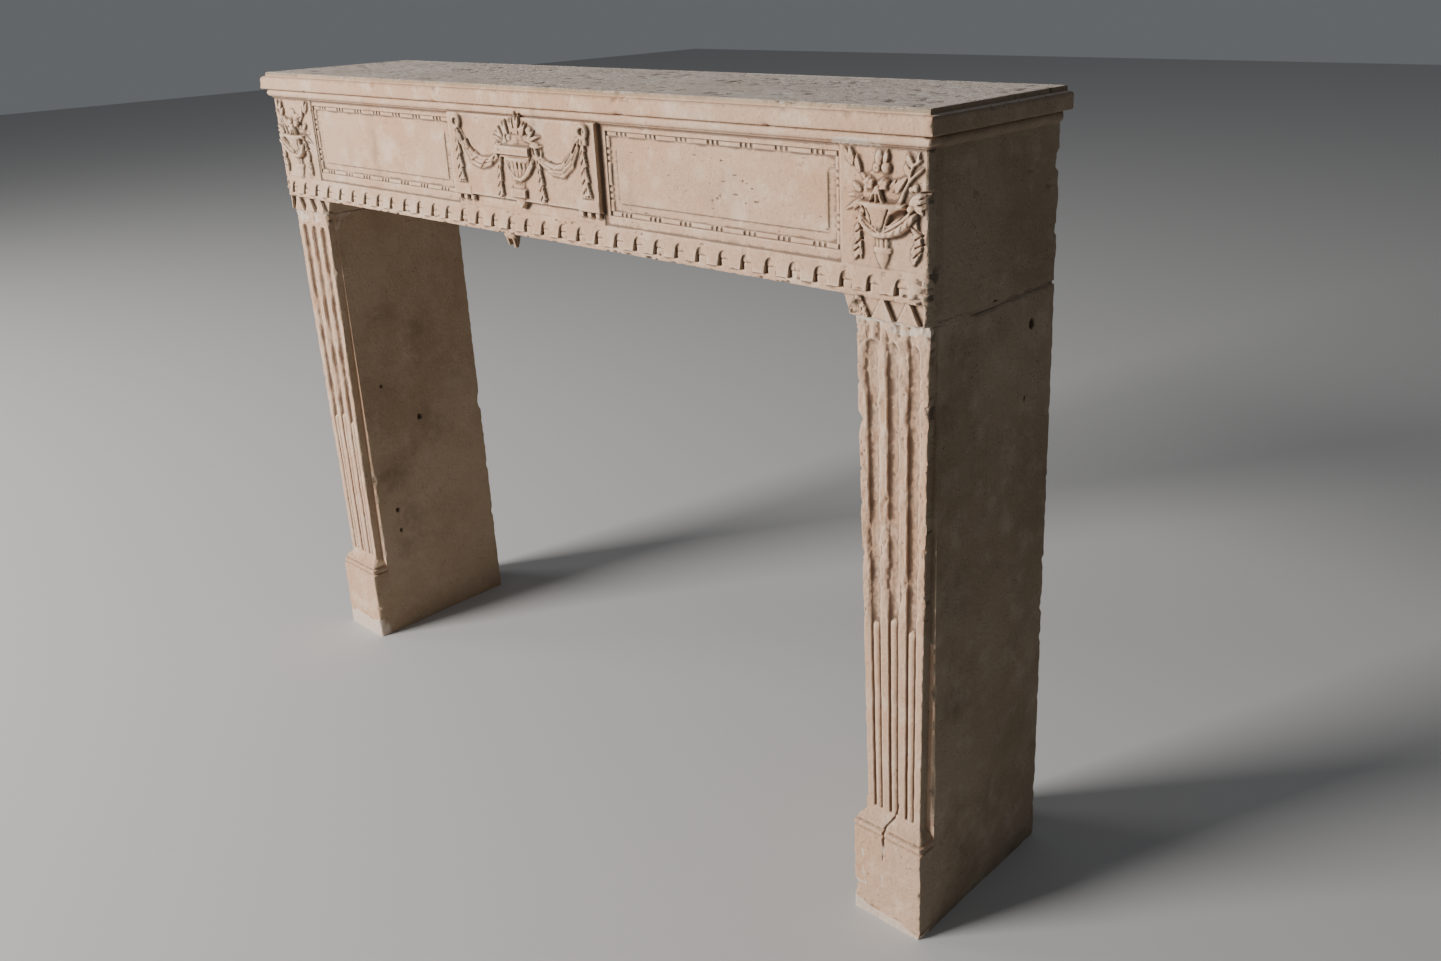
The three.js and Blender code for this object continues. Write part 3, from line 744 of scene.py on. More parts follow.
@dataclass
class Studio:
    """Floor, lights and camera around the mantel, in metres."""

    lens: float = 31.6
    sensor: float = 36.0
    shift: Point = (-0.04161, -0.04711)
    reach_of_view: Point = (0.05, 60.0)
    view_place: Point3 = (1.4941, -1.2466, 1.2245)
    view_turn: Point3 = (1.23214, 0.03248, 0.72669)
    floor_reach: float = 14.0
    floor_colour: Colour = (0.52, 0.51, 0.50)
    floor_roughness: float = 0.9
    surround_colour: Colour = (0.82, 0.87, 0.93)
    surround_strength: float = 0.155
    key: Softbox = Softbox("key", (-2.8, -5.2, 2.8), (0, 0, 0.75), 2.3, 720.0, (1.0, 0.98, 0.95))
    fill: Softbox = Softbox("fill", (-5.2, -2.9, 1.8), (-0.4, 0, 0.7), 1.6, 90.0, (0.97, 0.98, 1.0))

    def camera(self, scene: bpy.types.Scene) -> None:
        """Places the camera at the photograph's viewing angle.

        Args:
            scene: scene that is looked at.
        """
        data = bpy.data.cameras.new("camera")
        data.sensor_width = self.sensor
        data.lens = self.lens
        data.shift_x, data.shift_y = self.shift
        data.clip_start, data.clip_end = self.reach_of_view
        view = bpy.data.objects.new("camera", data)
        view.location = self.view_place
        view.rotation_euler = self.view_turn
        scene.collection.objects.link(view)
        scene.camera = view

    def floor(self, scene: bpy.types.Scene) -> None:
        """Lays the pale floor.

        Args:
            scene: scene that gets it.
        """
        mesh = bpy.data.meshes.new("floor")
        corners = [(x * self.floor_reach, y * self.floor_reach, 0) for x,
                   y in ((-1, -1), (1, -1), (1, 1), (-1, 1))]
        mesh.from_pydata(corners, [], [(0, 1, 2, 3)])
        floor = bpy.data.objects.new("floor", mesh)
        scene.collection.objects.link(floor)
        material = bpy.data.materials.new("pale_floor")
        material.use_nodes = True
        shader = material.node_tree.nodes["Principled BSDF"]
        shader.inputs["Base Color"].default_value = rgba(self.floor_colour)
        shader.inputs["Roughness"].default_value = self.floor_roughness
        mesh.materials.append(material)

    def build(self) -> None:
        """Makes the floor, the lights, the pale surround and the camera."""
        scene = bpy.context.scene
        self.floor(scene)
        world = scene.world or bpy.data.worlds.new("surround")
        scene.world = world
        world.use_nodes = True
        backdrop = world.node_tree.nodes["Background"]
        backdrop.inputs["Color"].default_value = rgba(self.surround_colour)
        backdrop.inputs["Strength"].default_value = self.surround_strength
        self.key.hang(scene)
        self.fill.hang(scene)
        self.camera(scene)


class Graph:
    """Short way to add and join shader nodes."""

    def __init__(self, tree: bpy.types.NodeTree) -> None:
        """Keeps the tree that is built."""
        self.tree = tree

    def join(self, value: object, socket: bpy.types.NodeSocket) -> None:
        """Links a source to a socket, or sets the socket to a plain value."""
        if isinstance(value, bpy.types.NodeSocket):
            self.tree.links.new(value, socket)
        else:
            socket.default_value = value

    def add(self, kind: str, settings: dict | None = None, **inputs: object) -> bpy.types.Node:
        """Adds a node.

        Args:
            kind: node type without its ShaderNode prefix.
            settings: properties of the node.
            inputs: socket name, or i0, i1 and so on for a number, and its value or source.

        Returns:
            The node.
        """
        node = self.tree.nodes.new("ShaderNode" + kind)
        for key, value in (settings or {}).items():
            setattr(node, key, value)
        for key, value in inputs.items():
            by_number = key[0] == "i" and key[1:].isdigit()
            self.join(value, node.inputs[int(key[1:]) if by_number else key])
        return node

    def maths(self, operation: str, first: object, second: object) -> bpy.types.NodeSocket:
        """Result of a sum on values."""
        return self.add("Math", {"operation": operation}, i0=first, i1=second).outputs[0]

    def blend(self, share: object, first: object, second: object) -> bpy.types.NodeSocket:
        """Mix of two colours."""
        node = self.add("Mix", {"data_type": "RGBA", "clamp_factor": True}, i0=share, i6=first, i7=second)
        return node.outputs[2]

    def ramp(self, value: object, low: float, high: float,
             ends: Point = (0.0, 1.0)) -> bpy.types.NodeSocket:
        """Smooth step of a value from a range to its two ends."""
        kind = {"interpolation_type": "SMOOTHSTEP"}
        return self.add("MapRange", kind, i0=value, i1=low, i2=high, i3=ends[0], i4=ends[1]).outputs[0]

    def noise(self, place: object, scale: float, detail: float, roughness: float) -> bpy.types.NodeSocket:
        """Fractal noise between 0 and 1."""
        node = self.add("TexNoise", None, Vector=place, Scale=scale, Detail=detail, Roughness=roughness)
        return node.outputs["Fac"]


class Effect(Enum):
    """Shader effects that more than one finish uses."""

    MOTTLE = "stone_mottle"
    GRAIN = "stone_grain"


def rgba(colour: Colour) -> tuple[float, float, float, float]:
    """Colour with full alpha."""
    return (*colour, 1.0)


def new_group(effect: Effect, inputs: Sequence[tuple[str, str]],
              outputs: Sequence[tuple[str, str]]) -> tuple:
    """Starts a node group with named sockets.

    Args:
        effect: which effect it is.
        inputs: socket kind and name of each input.
        outputs: socket kind and name of each output.

    Returns:
        The group's tree, its graph, its input node and its output node.
    """
    tree = bpy.data.node_groups.new(effect.value, "ShaderNodeTree")
    for kind, name in inputs:
        tree.interface.new_socket(name=name, in_out="INPUT", socket_type="NodeSocket" + kind)
    for kind, name in outputs:
        tree.interface.new_socket(name=name, in_out="OUTPUT", socket_type="NodeSocket" + kind)
    source = tree.nodes.new("NodeGroupInput")
    result = tree.nodes.new("NodeGroupOutput")
    return tree, Graph(tree), source, result


def mottle_group() -> bpy.types.NodeTree:
    """Colour of weathered limestone: patches, specks, stains, painted shade in hollows and on walls turned
    from the light, pale worn ridges and pale plaster.

    Returns:
        The node group.
    """
    inputs = [("Vector", "Place"), ("Color", "Ground"), ("Color", "Warm"), ("Color", "Pale"),
              ("Color", "Grime And Shade"), ("Color", "Plaster"), ("Float", "Painted Shade And Wear"), ("Float", "Plaster Mask"),
              ("Float", "Stain Mask"), ("Float", "Hollow Shade Amount"), ("Float", "Patches")]
    tree, graph, source, result = new_group(Effect.MOTTLE, inputs, [("Color", "Colour")])
    got = source.outputs
    place = got["Place"]
    broad = graph.ramp(graph.noise(place, 5.5, 5.0, 0.6), 0.38, 0.66)
    colour = graph.blend(broad, got["Ground"], got["Warm"])
    middle = graph.ramp(graph.noise(place, 26.0, 6.0, 0.62), 0.47, 0.74)
    colour = graph.blend(graph.maths("MULTIPLY", middle, got["Patches"]), colour, got["Pale"])
    speck = graph.ramp(graph.noise(place, 420.0, 3.0, 0.7), 0.55, 0.75)
    colour = graph.blend(graph.maths("MULTIPLY", speck, 0.6), colour, got["Pale"])
    dark_speck = graph.ramp(graph.noise(place, 300.0, 4.0, 0.7), 0.60, 0.72)
    colour = graph.blend(graph.maths("MULTIPLY", dark_speck, 0.55), colour, got["Grime And Shade"])
    # Painted shade: the hollow measure darkens hollows, creases and walls turned from the light towards the
    # dark colour; below zero it turns raised ridges pale as worn edges.
    hollow = graph.ramp(got["Painted Shade And Wear"], 0.04, 0.42)
    edge = graph.ramp(graph.maths("MULTIPLY", got["Painted Shade And Wear"], -1.0), 0.10, 0.60)
    hollow = graph.maths("MULTIPLY", hollow, got["Hollow Shade Amount"])
    colour = graph.blend(hollow, colour, got["Grime And Shade"])
    colour = graph.blend(graph.maths("MULTIPLY", edge, 0.45), colour, got["Pale"])
    drift = graph.noise(place, 60.0, 5.0, 0.6)
    stain = graph.maths("MULTIPLY", got["Stain Mask"], graph.ramp(drift, 0.30, 0.60))
    colour = graph.blend(stain, colour, got["Grime And Shade"])
    ragged = graph.maths("MULTIPLY", graph.maths("SUBTRACT", drift, 0.5), 1.1)
    ragged = graph.maths("ADD", got["Plaster Mask"], ragged)
    plaster = graph.ramp(ragged, 0.42, 0.66)
    colour = graph.blend(plaster, colour, got["Plaster"])
    tree.links.new(colour, result.inputs["Colour"])
    return tree


def grain_group() -> bpy.types.NodeTree:
    """Fine surface of limestone as a height: sandy grain, worn dips and small pits.

    Returns:
        The node group.
    """
    inputs = [("Vector", "Place"), ("Float", "Grain"), ("Float", "Dips"), ("Float", "Pits")]
    outputs = [("Float", "Height"), ("Float", "Pit Mask")]
    tree, graph, source, result = new_group(Effect.GRAIN, inputs, outputs)
    got = source.outputs
    place = got["Place"]
    sand = graph.noise(place, 900.0, 3.0, 0.7)
    dips = graph.noise(place, 150.0, 5.0, 0.6)
    cells = graph.add("TexVoronoi", {"feature": "F1"}, Vector=place, Scale=230.0,
                      Randomness=1.0).outputs["Distance"]
    spots = graph.ramp(cells, 0.05, 0.30, (1.0, 0.0))
    rare = graph.ramp(graph.noise(place, 42.0, 3.0, 0.6), 0.50, 0.66)
    pits = graph.maths("MULTIPLY", spots, rare)
    pits = graph.maths("MULTIPLY", pits, got["Pits"])
    total = graph.maths("MULTIPLY", sand, got["Grain"])
    total = graph.maths("ADD", total, graph.maths("MULTIPLY", dips, got["Dips"]))
    total = graph.maths("SUBTRACT", total, pits)
    tree.links.new(total, result.inputs["Height"])
    tree.links.new(pits, result.inputs["Pit Mask"])
    return tree


@dataclass(frozen=True)
class StoneFinish:
    """Limestone as one face of the mantel shows it."""

    name: str
    ground: Colour = (0.575, 0.376, 0.253)
    warm: Colour = (0.555, 0.334, 0.207)
    pale: Colour = (0.72, 0.548, 0.415)
    # dark colour of stains, specks and pits, and of the painted shade in hollows and on walls turned from
    # the light
    grime_and_shade: Colour = (0.135, 0.092, 0.066)
    plaster: Colour = (0.62, 0.50, 0.405)
    roughness: float = 0.86
    # strength of the painted shade in hollows
    hollow_shade_amount: float = 0.8
    patches: float = 0.7
    grain: float = 0.8
    dips: float = 1.7
    pits: float = 0.7
    bump: float = 1.0

    def make(self, groups: dict[Effect, bpy.types.NodeTree]) -> bpy.types.Material:
        """Builds the material.

        Args:
            groups: the shared effects.

        Returns:
            The material.
        """
        material = bpy.data.materials.new(self.name)
        material.use_nodes = True
        graph = Graph(material.node_tree)
        shader = material.node_tree.nodes["Principled BSDF"]
        shader.inputs["Roughness"].default_value = self.roughness
        shader.inputs["Specular IOR Level"].default_value = 0.25
        place = graph.add("TexCoord").outputs["Object"]
        masks = {name: graph.add("Attribute", {"attribute_name": name}).outputs["Fac"]
                 for name in ("painted_shade_and_wear", "plaster", "stain")}
        mottle = graph.add("Group", {"node_tree": groups[Effect.MOTTLE]})
        for key, value in (("Ground", self.ground), ("Warm", self.warm), ("Pale", self.pale),
                           ("Grime And Shade", self.grime_and_shade), ("Plaster", self.plaster)):
            mottle.inputs[key].default_value = rgba(value)
        mottle.inputs["Hollow Shade Amount"].default_value = self.hollow_shade_amount
        mottle.inputs["Patches"].default_value = self.patches
        grain = graph.add("Group", {"node_tree": groups[Effect.GRAIN]})
        for key, value in (("Grain", self.grain), ("Dips", self.dips), ("Pits", self.pits)):
            grain.inputs[key].default_value = value
        links = material.node_tree.links
        links.new(place, mottle.inputs["Place"])
        links.new(place, grain.inputs["Place"])
        links.new(masks["painted_shade_and_wear"], mottle.inputs["Painted Shade And Wear"])
        links.new(masks["plaster"], mottle.inputs["Plaster Mask"])
        links.new(masks["stain"], mottle.inputs["Stain Mask"])
        dark = graph.blend(graph.maths("MULTIPLY", grain.outputs["Pit Mask"], 0.9),
                           mottle.outputs["Colour"], rgba(self.grime_and_shade))
        links.new(dark, shader.inputs["Base Color"])
        bump = graph.add("Bump", None, Strength=self.bump, Distance=0.0012, Height=grain.outputs["Height"])
        links.new(bump.outputs["Normal"], shader.inputs["Normal"])
        return material


class Face(IntEnum):
    """Which finish a face of a stone takes."""

    FRONT = 0
    TOP = 1
    SIDE = 2
    INNER = 3
    MORTAR = 4


@dataclass
class Dressing:
    """Gives the stones their finishes, hangs each piece on the mantel's root and hides the imported node
    that it stands for.
    """

    front: StoneFinish = StoneFinish("limestone_front")
    top: StoneFinish = StoneFinish(
        "limestone_top", ground=(0.62, 0.53, 0.455), warm=(0.60, 0.49, 0.41), pale=(0.72, 0.65, 0.59),
        grime_and_shade=(0.17, 0.14, 0.12), pits=1.8, grain=0.7)
    # The side and inner finishes are darker copies of the front stone: painted shade for faces turned away
    # from the lights.
    side: StoneFinish = StoneFinish(
        "limestone_side", ground=(0.37, 0.282, 0.198), warm=(0.29, 0.212, 0.142), pale=(0.52, 0.42, 0.32),
        grime_and_shade=(0.09, 0.065, 0.045), pits=1.2, dips=2.6, grain=1.2, patches=0.45)
    inner: StoneFinish = StoneFinish(
        "limestone_inner", ground=(0.46, 0.335, 0.225), warm=(0.37, 0.255, 0.162), pale=(0.58, 0.45, 0.33),
        grime_and_shade=(0.11, 0.078, 0.052), pits=1.0, dips=2.0, patches=0.3)
    mortar: StoneFinish = StoneFinish(
        "lime_mortar", ground=(0.60, 0.50, 0.41), warm=(0.55, 0.44, 0.35), pale=(0.70, 0.62, 0.54),
        pits=0.7, dips=1.3)
    lying: float = 0.8
    facing: float = 0.6
    # height from which the outer rebate strip of a jamb takes a painted shadow
    upper_part_from: float = 430.0
    mortar_reach: float = 24.0

    def __post_init__(self) -> None:
        """Builds the shared effects and the materials once."""
        groups = {Effect.MOTTLE: mottle_group(), Effect.GRAIN: grain_group()}
        finishes = (self.front, self.top, self.side, self.inner, self.mortar)
        self.made = [finish.make(groups) for finish in finishes]

    def faces(self, piece: bpy.types.Object) -> tuple[np.ndarray, np.ndarray]:
        """Normals of a piece's faces, and their middles in millimetres in the mason's frame.

        Args:
            piece: the piece.

        Returns:
            Two tables by axis and face.
        """
        count = len(piece.data.polygons)
        normals, centres = np.empty(count * 3), np.empty(count * 3)
        piece.data.polygons.foreach_get("normal", normals)
        piece.data.polygons.foreach_get("center", centres)
        centres = centres.reshape(-1, 3) * 1000 + np.array([0, SIZES.row_shift, 0])
        return normals.reshape(-1, 3).T, centres.T

    def stone(self, piece: bpy.types.Object, node: str, side_from: float, rim: float,
              painted_lee_shade: bool = False) -> None:
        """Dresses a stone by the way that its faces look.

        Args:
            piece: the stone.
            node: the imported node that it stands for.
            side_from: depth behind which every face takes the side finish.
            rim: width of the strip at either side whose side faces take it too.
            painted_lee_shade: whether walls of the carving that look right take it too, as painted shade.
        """
        for material in self.made[:Face.MORTAR]:
            piece.data.materials.append(material)
        (nx, ny, nz), (x, y, z) = self.faces(piece)
        deep = y > side_from
        off = np.abs(x)
        outward = np.sign(x) * nx
        slots = np.full(len(x), Face.FRONT, int)
        # Painted shade: walls of the carving that look right, away from the key light, take the darker side
        # finish.
        if painted_lee_shade:
            slots[nx > 0.62] = Face.SIDE
        slots[(nz > self.lying) & deep] = Face.TOP
        slots[deep & (nz < self.lying)] = Face.SIDE
        slots[deep & (nz < self.lying) & (off < SIZES.jamb_inside + 4)] = Face.INNER
        slots[(outward > self.facing) & (off > SIZES.half_width - rim)] = Face.SIDE
        slots[ny > 0.7] = Face.SIDE
        # Painted shadow: the front-facing strip of each jamb's outer rebate takes the darker side finish
        # above the start of the upper part, where the shaft shades it.
        strip = (ny < -0.3) & (y > SIZES.rebate_plane - 4)
        slots[strip & (z > self.upper_part_from) & (off > SIZES.half_width - rim)] = Face.SIDE
        inward = (off < SIZES.jamb_inside + rim) & (off > SIZES.jamb_inside - 1)
        slots[(outward < -self.facing) & inward] = Face.INNER
        piece.data.polygons.foreach_set("material_index", slots)
        self.place(piece, node)

    def mortar_work(self, piece: bpy.types.Object) -> None:
        """Dresses a joint: mortar in front, the colour of the sides elsewhere.

        Args:
            piece: the joint.
        """
        piece.data.materials.append(self.made[Face.MORTAR])
        piece.data.materials.append(self.made[Face.SIDE])
        _, (_, y, _) = self.faces(piece)
        piece.data.polygons.foreach_set("material_index", (y > self.mortar_reach).astype(int))
        self.place(piece, None)

    def place(self, piece: bpy.types.Object, node: str | None) -> None:
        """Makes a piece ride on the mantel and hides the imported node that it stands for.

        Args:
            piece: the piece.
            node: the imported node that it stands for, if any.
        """
        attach(piece, "root")
        if node:
            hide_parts(node)


@dataclass
class Shelf:
    """Moulded slab on top."""

    column: float = 3.0
    row: float = 4.5
    seed: int = 11

    def outline(self) -> list[Point]:
        """Profile of the edge from the bottom up, as reach out of the body and height.

        Returns:
            The points.
        """
        over, top = SIZES.shelf_overhang, SIZES.height
        bottom = top - SIZES.shelf_thickness
        shoulder = top - SIZES.shelf_fillet_height
        fillet = over - SIZES.shelf_fillet_setback
        return [
            (over - 3.0, bottom), (over - 1.6, bottom + 0.1), (over - 0.4, bottom + 0.9),
            (over - 0.05, bottom + 2.2), (over, bottom + 5), (over, bottom + 9), (over, bottom + 13),
            (over, shoulder - 4.2), (over - 0.1, shoulder - 2.4), (over - 0.9, shoulder - 0.8),
            (over - 2.2, shoulder - 0.1), (over - 4.0, shoulder + 0.15), (over - 6.0, shoulder + 0.2),
            (fillet + 1.4, shoulder + 0.3), (fillet + 0.4, shoulder + 0.9), (fillet, shoulder + 2.0),
            (fillet, top - 2.8), (fillet - 0.1, top - 1.2), (fillet - 0.6, top - 0.3), (fillet - 1.6, top),
        ]

    def build(self) -> bpy.types.Object:
        """Makes the slab with its worn edges and pitted top.

        Returns:
            The shelf.
        """
        noise = Noise(self.seed)
        half, front, back = SIZES.half_width, SIZES.frieze_plane, SIZES.depth
        nx = round(2 * (half + SIZES.shelf_overhang) / self.column)
        ny = round((back - front + SIZES.shelf_overhang) / self.row)
        rings = []
        for out, z in self.outline():
            ring = rectangle((-half - out, front - out), (half + out, back), nx, ny)
            rings.append(np.column_stack([ring, np.full(len(ring), z)]))
        rings = np.array(rings)
        self.age(rings, noise)
        skin = Skin()
        ids = skin.loops(rings)
        skin.cap(ids[0][::-1])
        corner = rings[-1, 0]
        x, y = np.meshgrid(np.linspace(-abs(corner[0]), abs(corner[0]), nx + 1),
                           np.linspace(corner[1], back, ny + 1))
        dips = noise.rough(x, y, 70.0, 4, 2)
        pits = np.clip(noise.rough(x, y, 13.0, 2, 9) - 0.44, 0, 0.5)
        inner = clamp(np.minimum(half - np.abs(x), y - front) / 12.0)
        z = SIZES.height - (np.clip(0.35 + 0.45 * dips, 0, 1.2) * inner + 4.0 * pits * inner)
        skin.lid(ids[-1], np.stack([x, y, z], -1))
        piece = skin.build("shelf_stone")
        self.masks(piece, noise)
        soften(piece, 50.0)
        return piece

    def age(self, rings: np.ndarray, noise: Noise) -> None:
        """Wears the edges of the slab, in place.

        Args:
            rings: points by level, place in the ring and axis.
            noise: pattern of the wear.
        """
        half, over, top = SIZES.half_width, SIZES.shelf_overhang, SIZES.height
        bottom, shoulder = top - SIZES.shelf_thickness, top - SIZES.shelf_fillet_height
        fillet, edge = over - SIZES.shelf_fillet_setback, SIZES.frieze_plane - over
        x, z = rings[..., 0], rings[..., 2]
        dull = noise.rough(x, z, 40.0, 4, 1)
        face = clamp((edge + 9 - rings[..., 1]) / 6)
        rings[..., 1] += face * (0.35 + 0.45 * dull + 0.35 * noise.plane(x, z, 5.0, 6))
        side = clamp((np.abs(x) - half - over + 9) / 6)
        y = rings[..., 1]
        rings[..., 0] -= np.sign(x) * side * (0.3 + 0.3 * noise.rough(y, z, 30.0, 4, 4))
        fronts = [(SIZES.frieze_plane - fillet, top, 1, 0.6, 7.0, 20.0, 12),
                  (edge, shoulder, 1, 0.5, 4.6, 22.0, 15), (edge, bottom, -1, 0.5, 5.5, 22.0, 18)]
        for y0, z0, up, plain, chips, cell, layer in fronts:
            chip(rings, (y0, z0), (-1, up), (1, 2), wear(noise, x, z, plain, chips, cell, layer))
        for sign in (-1, 1):
            for reach, z0, up, layer in ((fillet, top, 1, 21), (over, shoulder, 1, 24),
                                         (over, bottom, -1, 27)):
                loss = wear(noise, rings[..., 1], z, 0.5, 4.0, 28.0, layer + sign)
                chip(rings, (sign * (half + reach), z0), (sign, up), (0, 2), loss)
            loss = wear(noise, z, rings[..., 0] * 0.2, 1.6, 4.0, 16.0, 30 + sign)
            chip(rings, (sign * (half + over), edge), (sign, -1), (0, 1), loss)
        rings[..., 1] = np.maximum(rings[..., 1], edge)
        rings[..., 2] = np.clip(rings[..., 2], bottom, top)

    def masks(self, piece: bpy.types.Object, noise: Noise) -> None:
        """Marks stains and plaster on the slab.

        Args:
            piece: the slab.
            noise: pattern of the stains.
        """
        x, y, z = mason_points(piece).T
        chips = noise.rough(x, y, 26.0, 3, 12)
        bright = clamp(chips - 0.35) * (z > SIZES.height - 2.5) * (y < SIZES.frieze_plane + 6)
        paint(piece, "painted_shade_and_wear", -bright * 1.6)
        paint(piece, "plaster", np.zeros(len(x)))
        smoke = np.clip(noise.rough(x, y, 90.0, 3, 5) * 0.3, 0, 0.2) * (z > SIZES.height - 3)
        pits = np.clip(noise.rough(x, y, 13.0, 2, 9) - 0.46, 0, 0.2) * 4.5 * (z > SIZES.height - 6)
        paint(piece, "stain", smoke + pits * (y > SIZES.frieze_plane + 4))


@dataclass
class VaseCarving:
    """Vase of flowers in a corner block."""

    axis: float
    hand: int = 1
    broken_top: bool = False
    rim: float = 976.0

    def at(self, x: float, z: float) -> Point:
        """Point of the carving from its place beside the axis and over the rim."""
        return self.axis + self.hand * x, self.rim + z

    def line(self, *places: Point) -> list[Point]:
        """Points of the carving for several places."""
        return [self.at(*place) for place in places]

    def leaves(self, relief: Relief, table: Sequence[tuple]) -> None:
        """Raises leaves from rows of stalk, tip, width, rise and bend.

        Args:
            relief: the front.
            table: a row for each leaf.
        """
        for stalk, tip, width, rise, bend in table:
            relief.leaf(self.at(*stalk), self.at(*tip), width, rise, 0, bend * self.hand)

    def carve(self, relief: Relief) -> None:
        """Cuts the whole vase into the relief.

        Args:
            relief: the front.
        """
        self.foliage(relief)
        self.vessel(relief)
        self.drapery(relief)

    def foliage(self, relief: Relief) -> None:
        """Flowers, twigs and leaves over the rim.

        Args:
            relief: the front.
        """
        relief.dome(*self.at(2, 8), 30, 15, 3.4, 0, power=0.6)
        relief.dome(*self.at(-6, 24), 15, 12, 3.0, 0, power=0.6)
        blades = [
            ((-41, 38), (-53, 57.5), 6.5, 4.5, 1), ((-41.5, 40), (-45.5, 58.5), 8.5, 6.0, -1),
            ((-30, 31), (-35, 50), 8.0, 6.0, 1), ((-20, 20), (-31, 31), 5.0, 4.5, -1),
            ((-29, 11), (-40, 19), 8.0, 5.5, 1), ((-38, 5), (-50, 3.6), 3.4, 2.2, 0),
            ((-27, 1), (-42, -13), 4.4, 4.2, 0), ((-27, 3), (-53, -13), 5.2, 3.6, 1),
            ((20, 12), (36, 30), 8.5, 6.5, 2), ((12, 13), (18, 26), 8.0, 5.5, -1),
            ((20, 13), (23.5, 27), 5.5, 5.0, 0), ((41.5, 42), (36, 55.5), 8.5, 6.0, 1),
            ((48, 44), (50.5, 58), 5.0, 5.0, 0), ((38.5, 33), (32.5, 44.5), 8.5, 6.0, 1),
            ((38, 2), (59, 13), 7.0, 5.5, 1.5), ((38, 1), (60, 5.5), 6.0, 6.0, 0.5),
            ((38, 0), (58.5, -2.5), 6.0, 5.5, -1), ((44, -1), (55.5, -10), 8.5, 5.0, 1),
        ]
        self.leaves(relief, blades)
        relief.rod(self.line((26, 0), (31, 14), (37, 24), (45, 32), (54.5, 39)),
                   [2.6, 2.4, 2.2, 2.0, 1.6], 4.6, 0)
        relief.rod(self.line((37, 24), (40, 37), (43.5, 43), (52, 48.5)), [2.2, 2.0, 1.9, 1.6], 4.2, 0)
        relief.rod(self.line((30, 12), (25, 2), (20, -4)), [2.4, 2.4, 2.0], 5.0, 0)
        for x, z, radius, rise in ((45.5, 18.5, 4.4, 5.5), (39.5, 16.5, 3.4, 4.5), (-22, 13, 4.0, 4.0)):
            relief.dome(*self.at(x, z), radius, radius, rise, 0, dimple=1.2)
        for x, z, radius in ((-15, 20.3, 8.2), (5, 20.3, 7.6)):
            relief.dome(*self.at(x, z), radius, radius * 0.95, 8.0, 0, power=0.4)
            for ring in range(5):
                angle = ring * 2 * math.pi / 5 + 0.4
                petal = self.at(x + math.cos(angle) * radius * 0.5, z + math.sin(angle) * radius * 0.5)
                relief.dome(*petal, radius * 0.42, radius * 0.34, 1.9, 6.9, turn=angle)
        if self.broken_top:
            relief.dome(*self.at(2, 36), 8, 7, 3.0, 0, power=0.3)
            return
        relief.dome(*self.at(6.5, 38), 6.6, 6.8, 7.0, 0, power=0.45)
        self.leaves(relief, [((4, 43), (7.5, 58), 7.5, 6.5, -1)])
        relief.dome(*self.at(-4, 48), 5.5, 9.0, 5.0, 0, power=0.4)
        relief.dome(*self.at(-7, 37), 6.0, 5.5, 5.5, 0, dimple=2.8)

    def vessel(self, relief: Relief) -> None:
        """Turned vase with a fluted stem and an acorn foot.

        Args:
            relief: the front.
        """
        foot = self.rim - 78
        outline = [(0, 0.8), (3, 2.2), (8, 5.6), (13, 8.4), (18, 9.8), (20.4, 10.2), (20.8, 12.6),
                   (25, 12.8), (26.4, 12.4), (27, 9.8), (38, 9.4), (42, 12.5), (50, 18.5), (58, 23.5),
                   (66, 28), (71, 30.5), (71.4, 32), (78, 33)]
        relief.turned(self.axis, foot, outline, 0.36, 0, 4, 1.8, (27, 38))
        for place in (-20, -9, 1, 12, 22):
            low = (place * 0.42, -34)
            relief.rod([self.at(place, -7), self.at(*low)], [1.0, 0.8], 1.0,
                       8.0 * math.sqrt(1 - (place / 34) ** 2))
        relief.plate(self.axis - 33.5, self.axis + 33.5, self.rim - 5, self.rim + 0.5, 8.6, 1.2)
        for path in (((-4, 15), (-9, 8), (-13, 0)), ((-1, 15), (3, 3), (9, -5)),
                     ((-3, 14), (-4, 4), (-4.5, -3))):
            relief.rod(self.line(*path), [2.1, 2.0, 1.3], 3.2, 7.0)
        relief.dome(*self.at(-3, 15.5), 3.6, 3.2, 3.4, 7.0)

    def drapery(self, relief: Relief) -> None:
        """Swag over the bowl and the two hanging bunches.

        Args:
            relief: the front.
        """

        def folded(rise: float) -> Profile:
            """Round cloth with slanting folds."""

            def cloth(t: np.ndarray, s: np.ndarray, a: np.ndarray) -> np.ndarray:
                """Height over the cloth."""
                fold = (s / 11.0 + 0.5 * a * self.hand) % 1.0
                return rise * np.sqrt(1 - a * a) * (0.72 + 0.28 * fold)

            return cloth

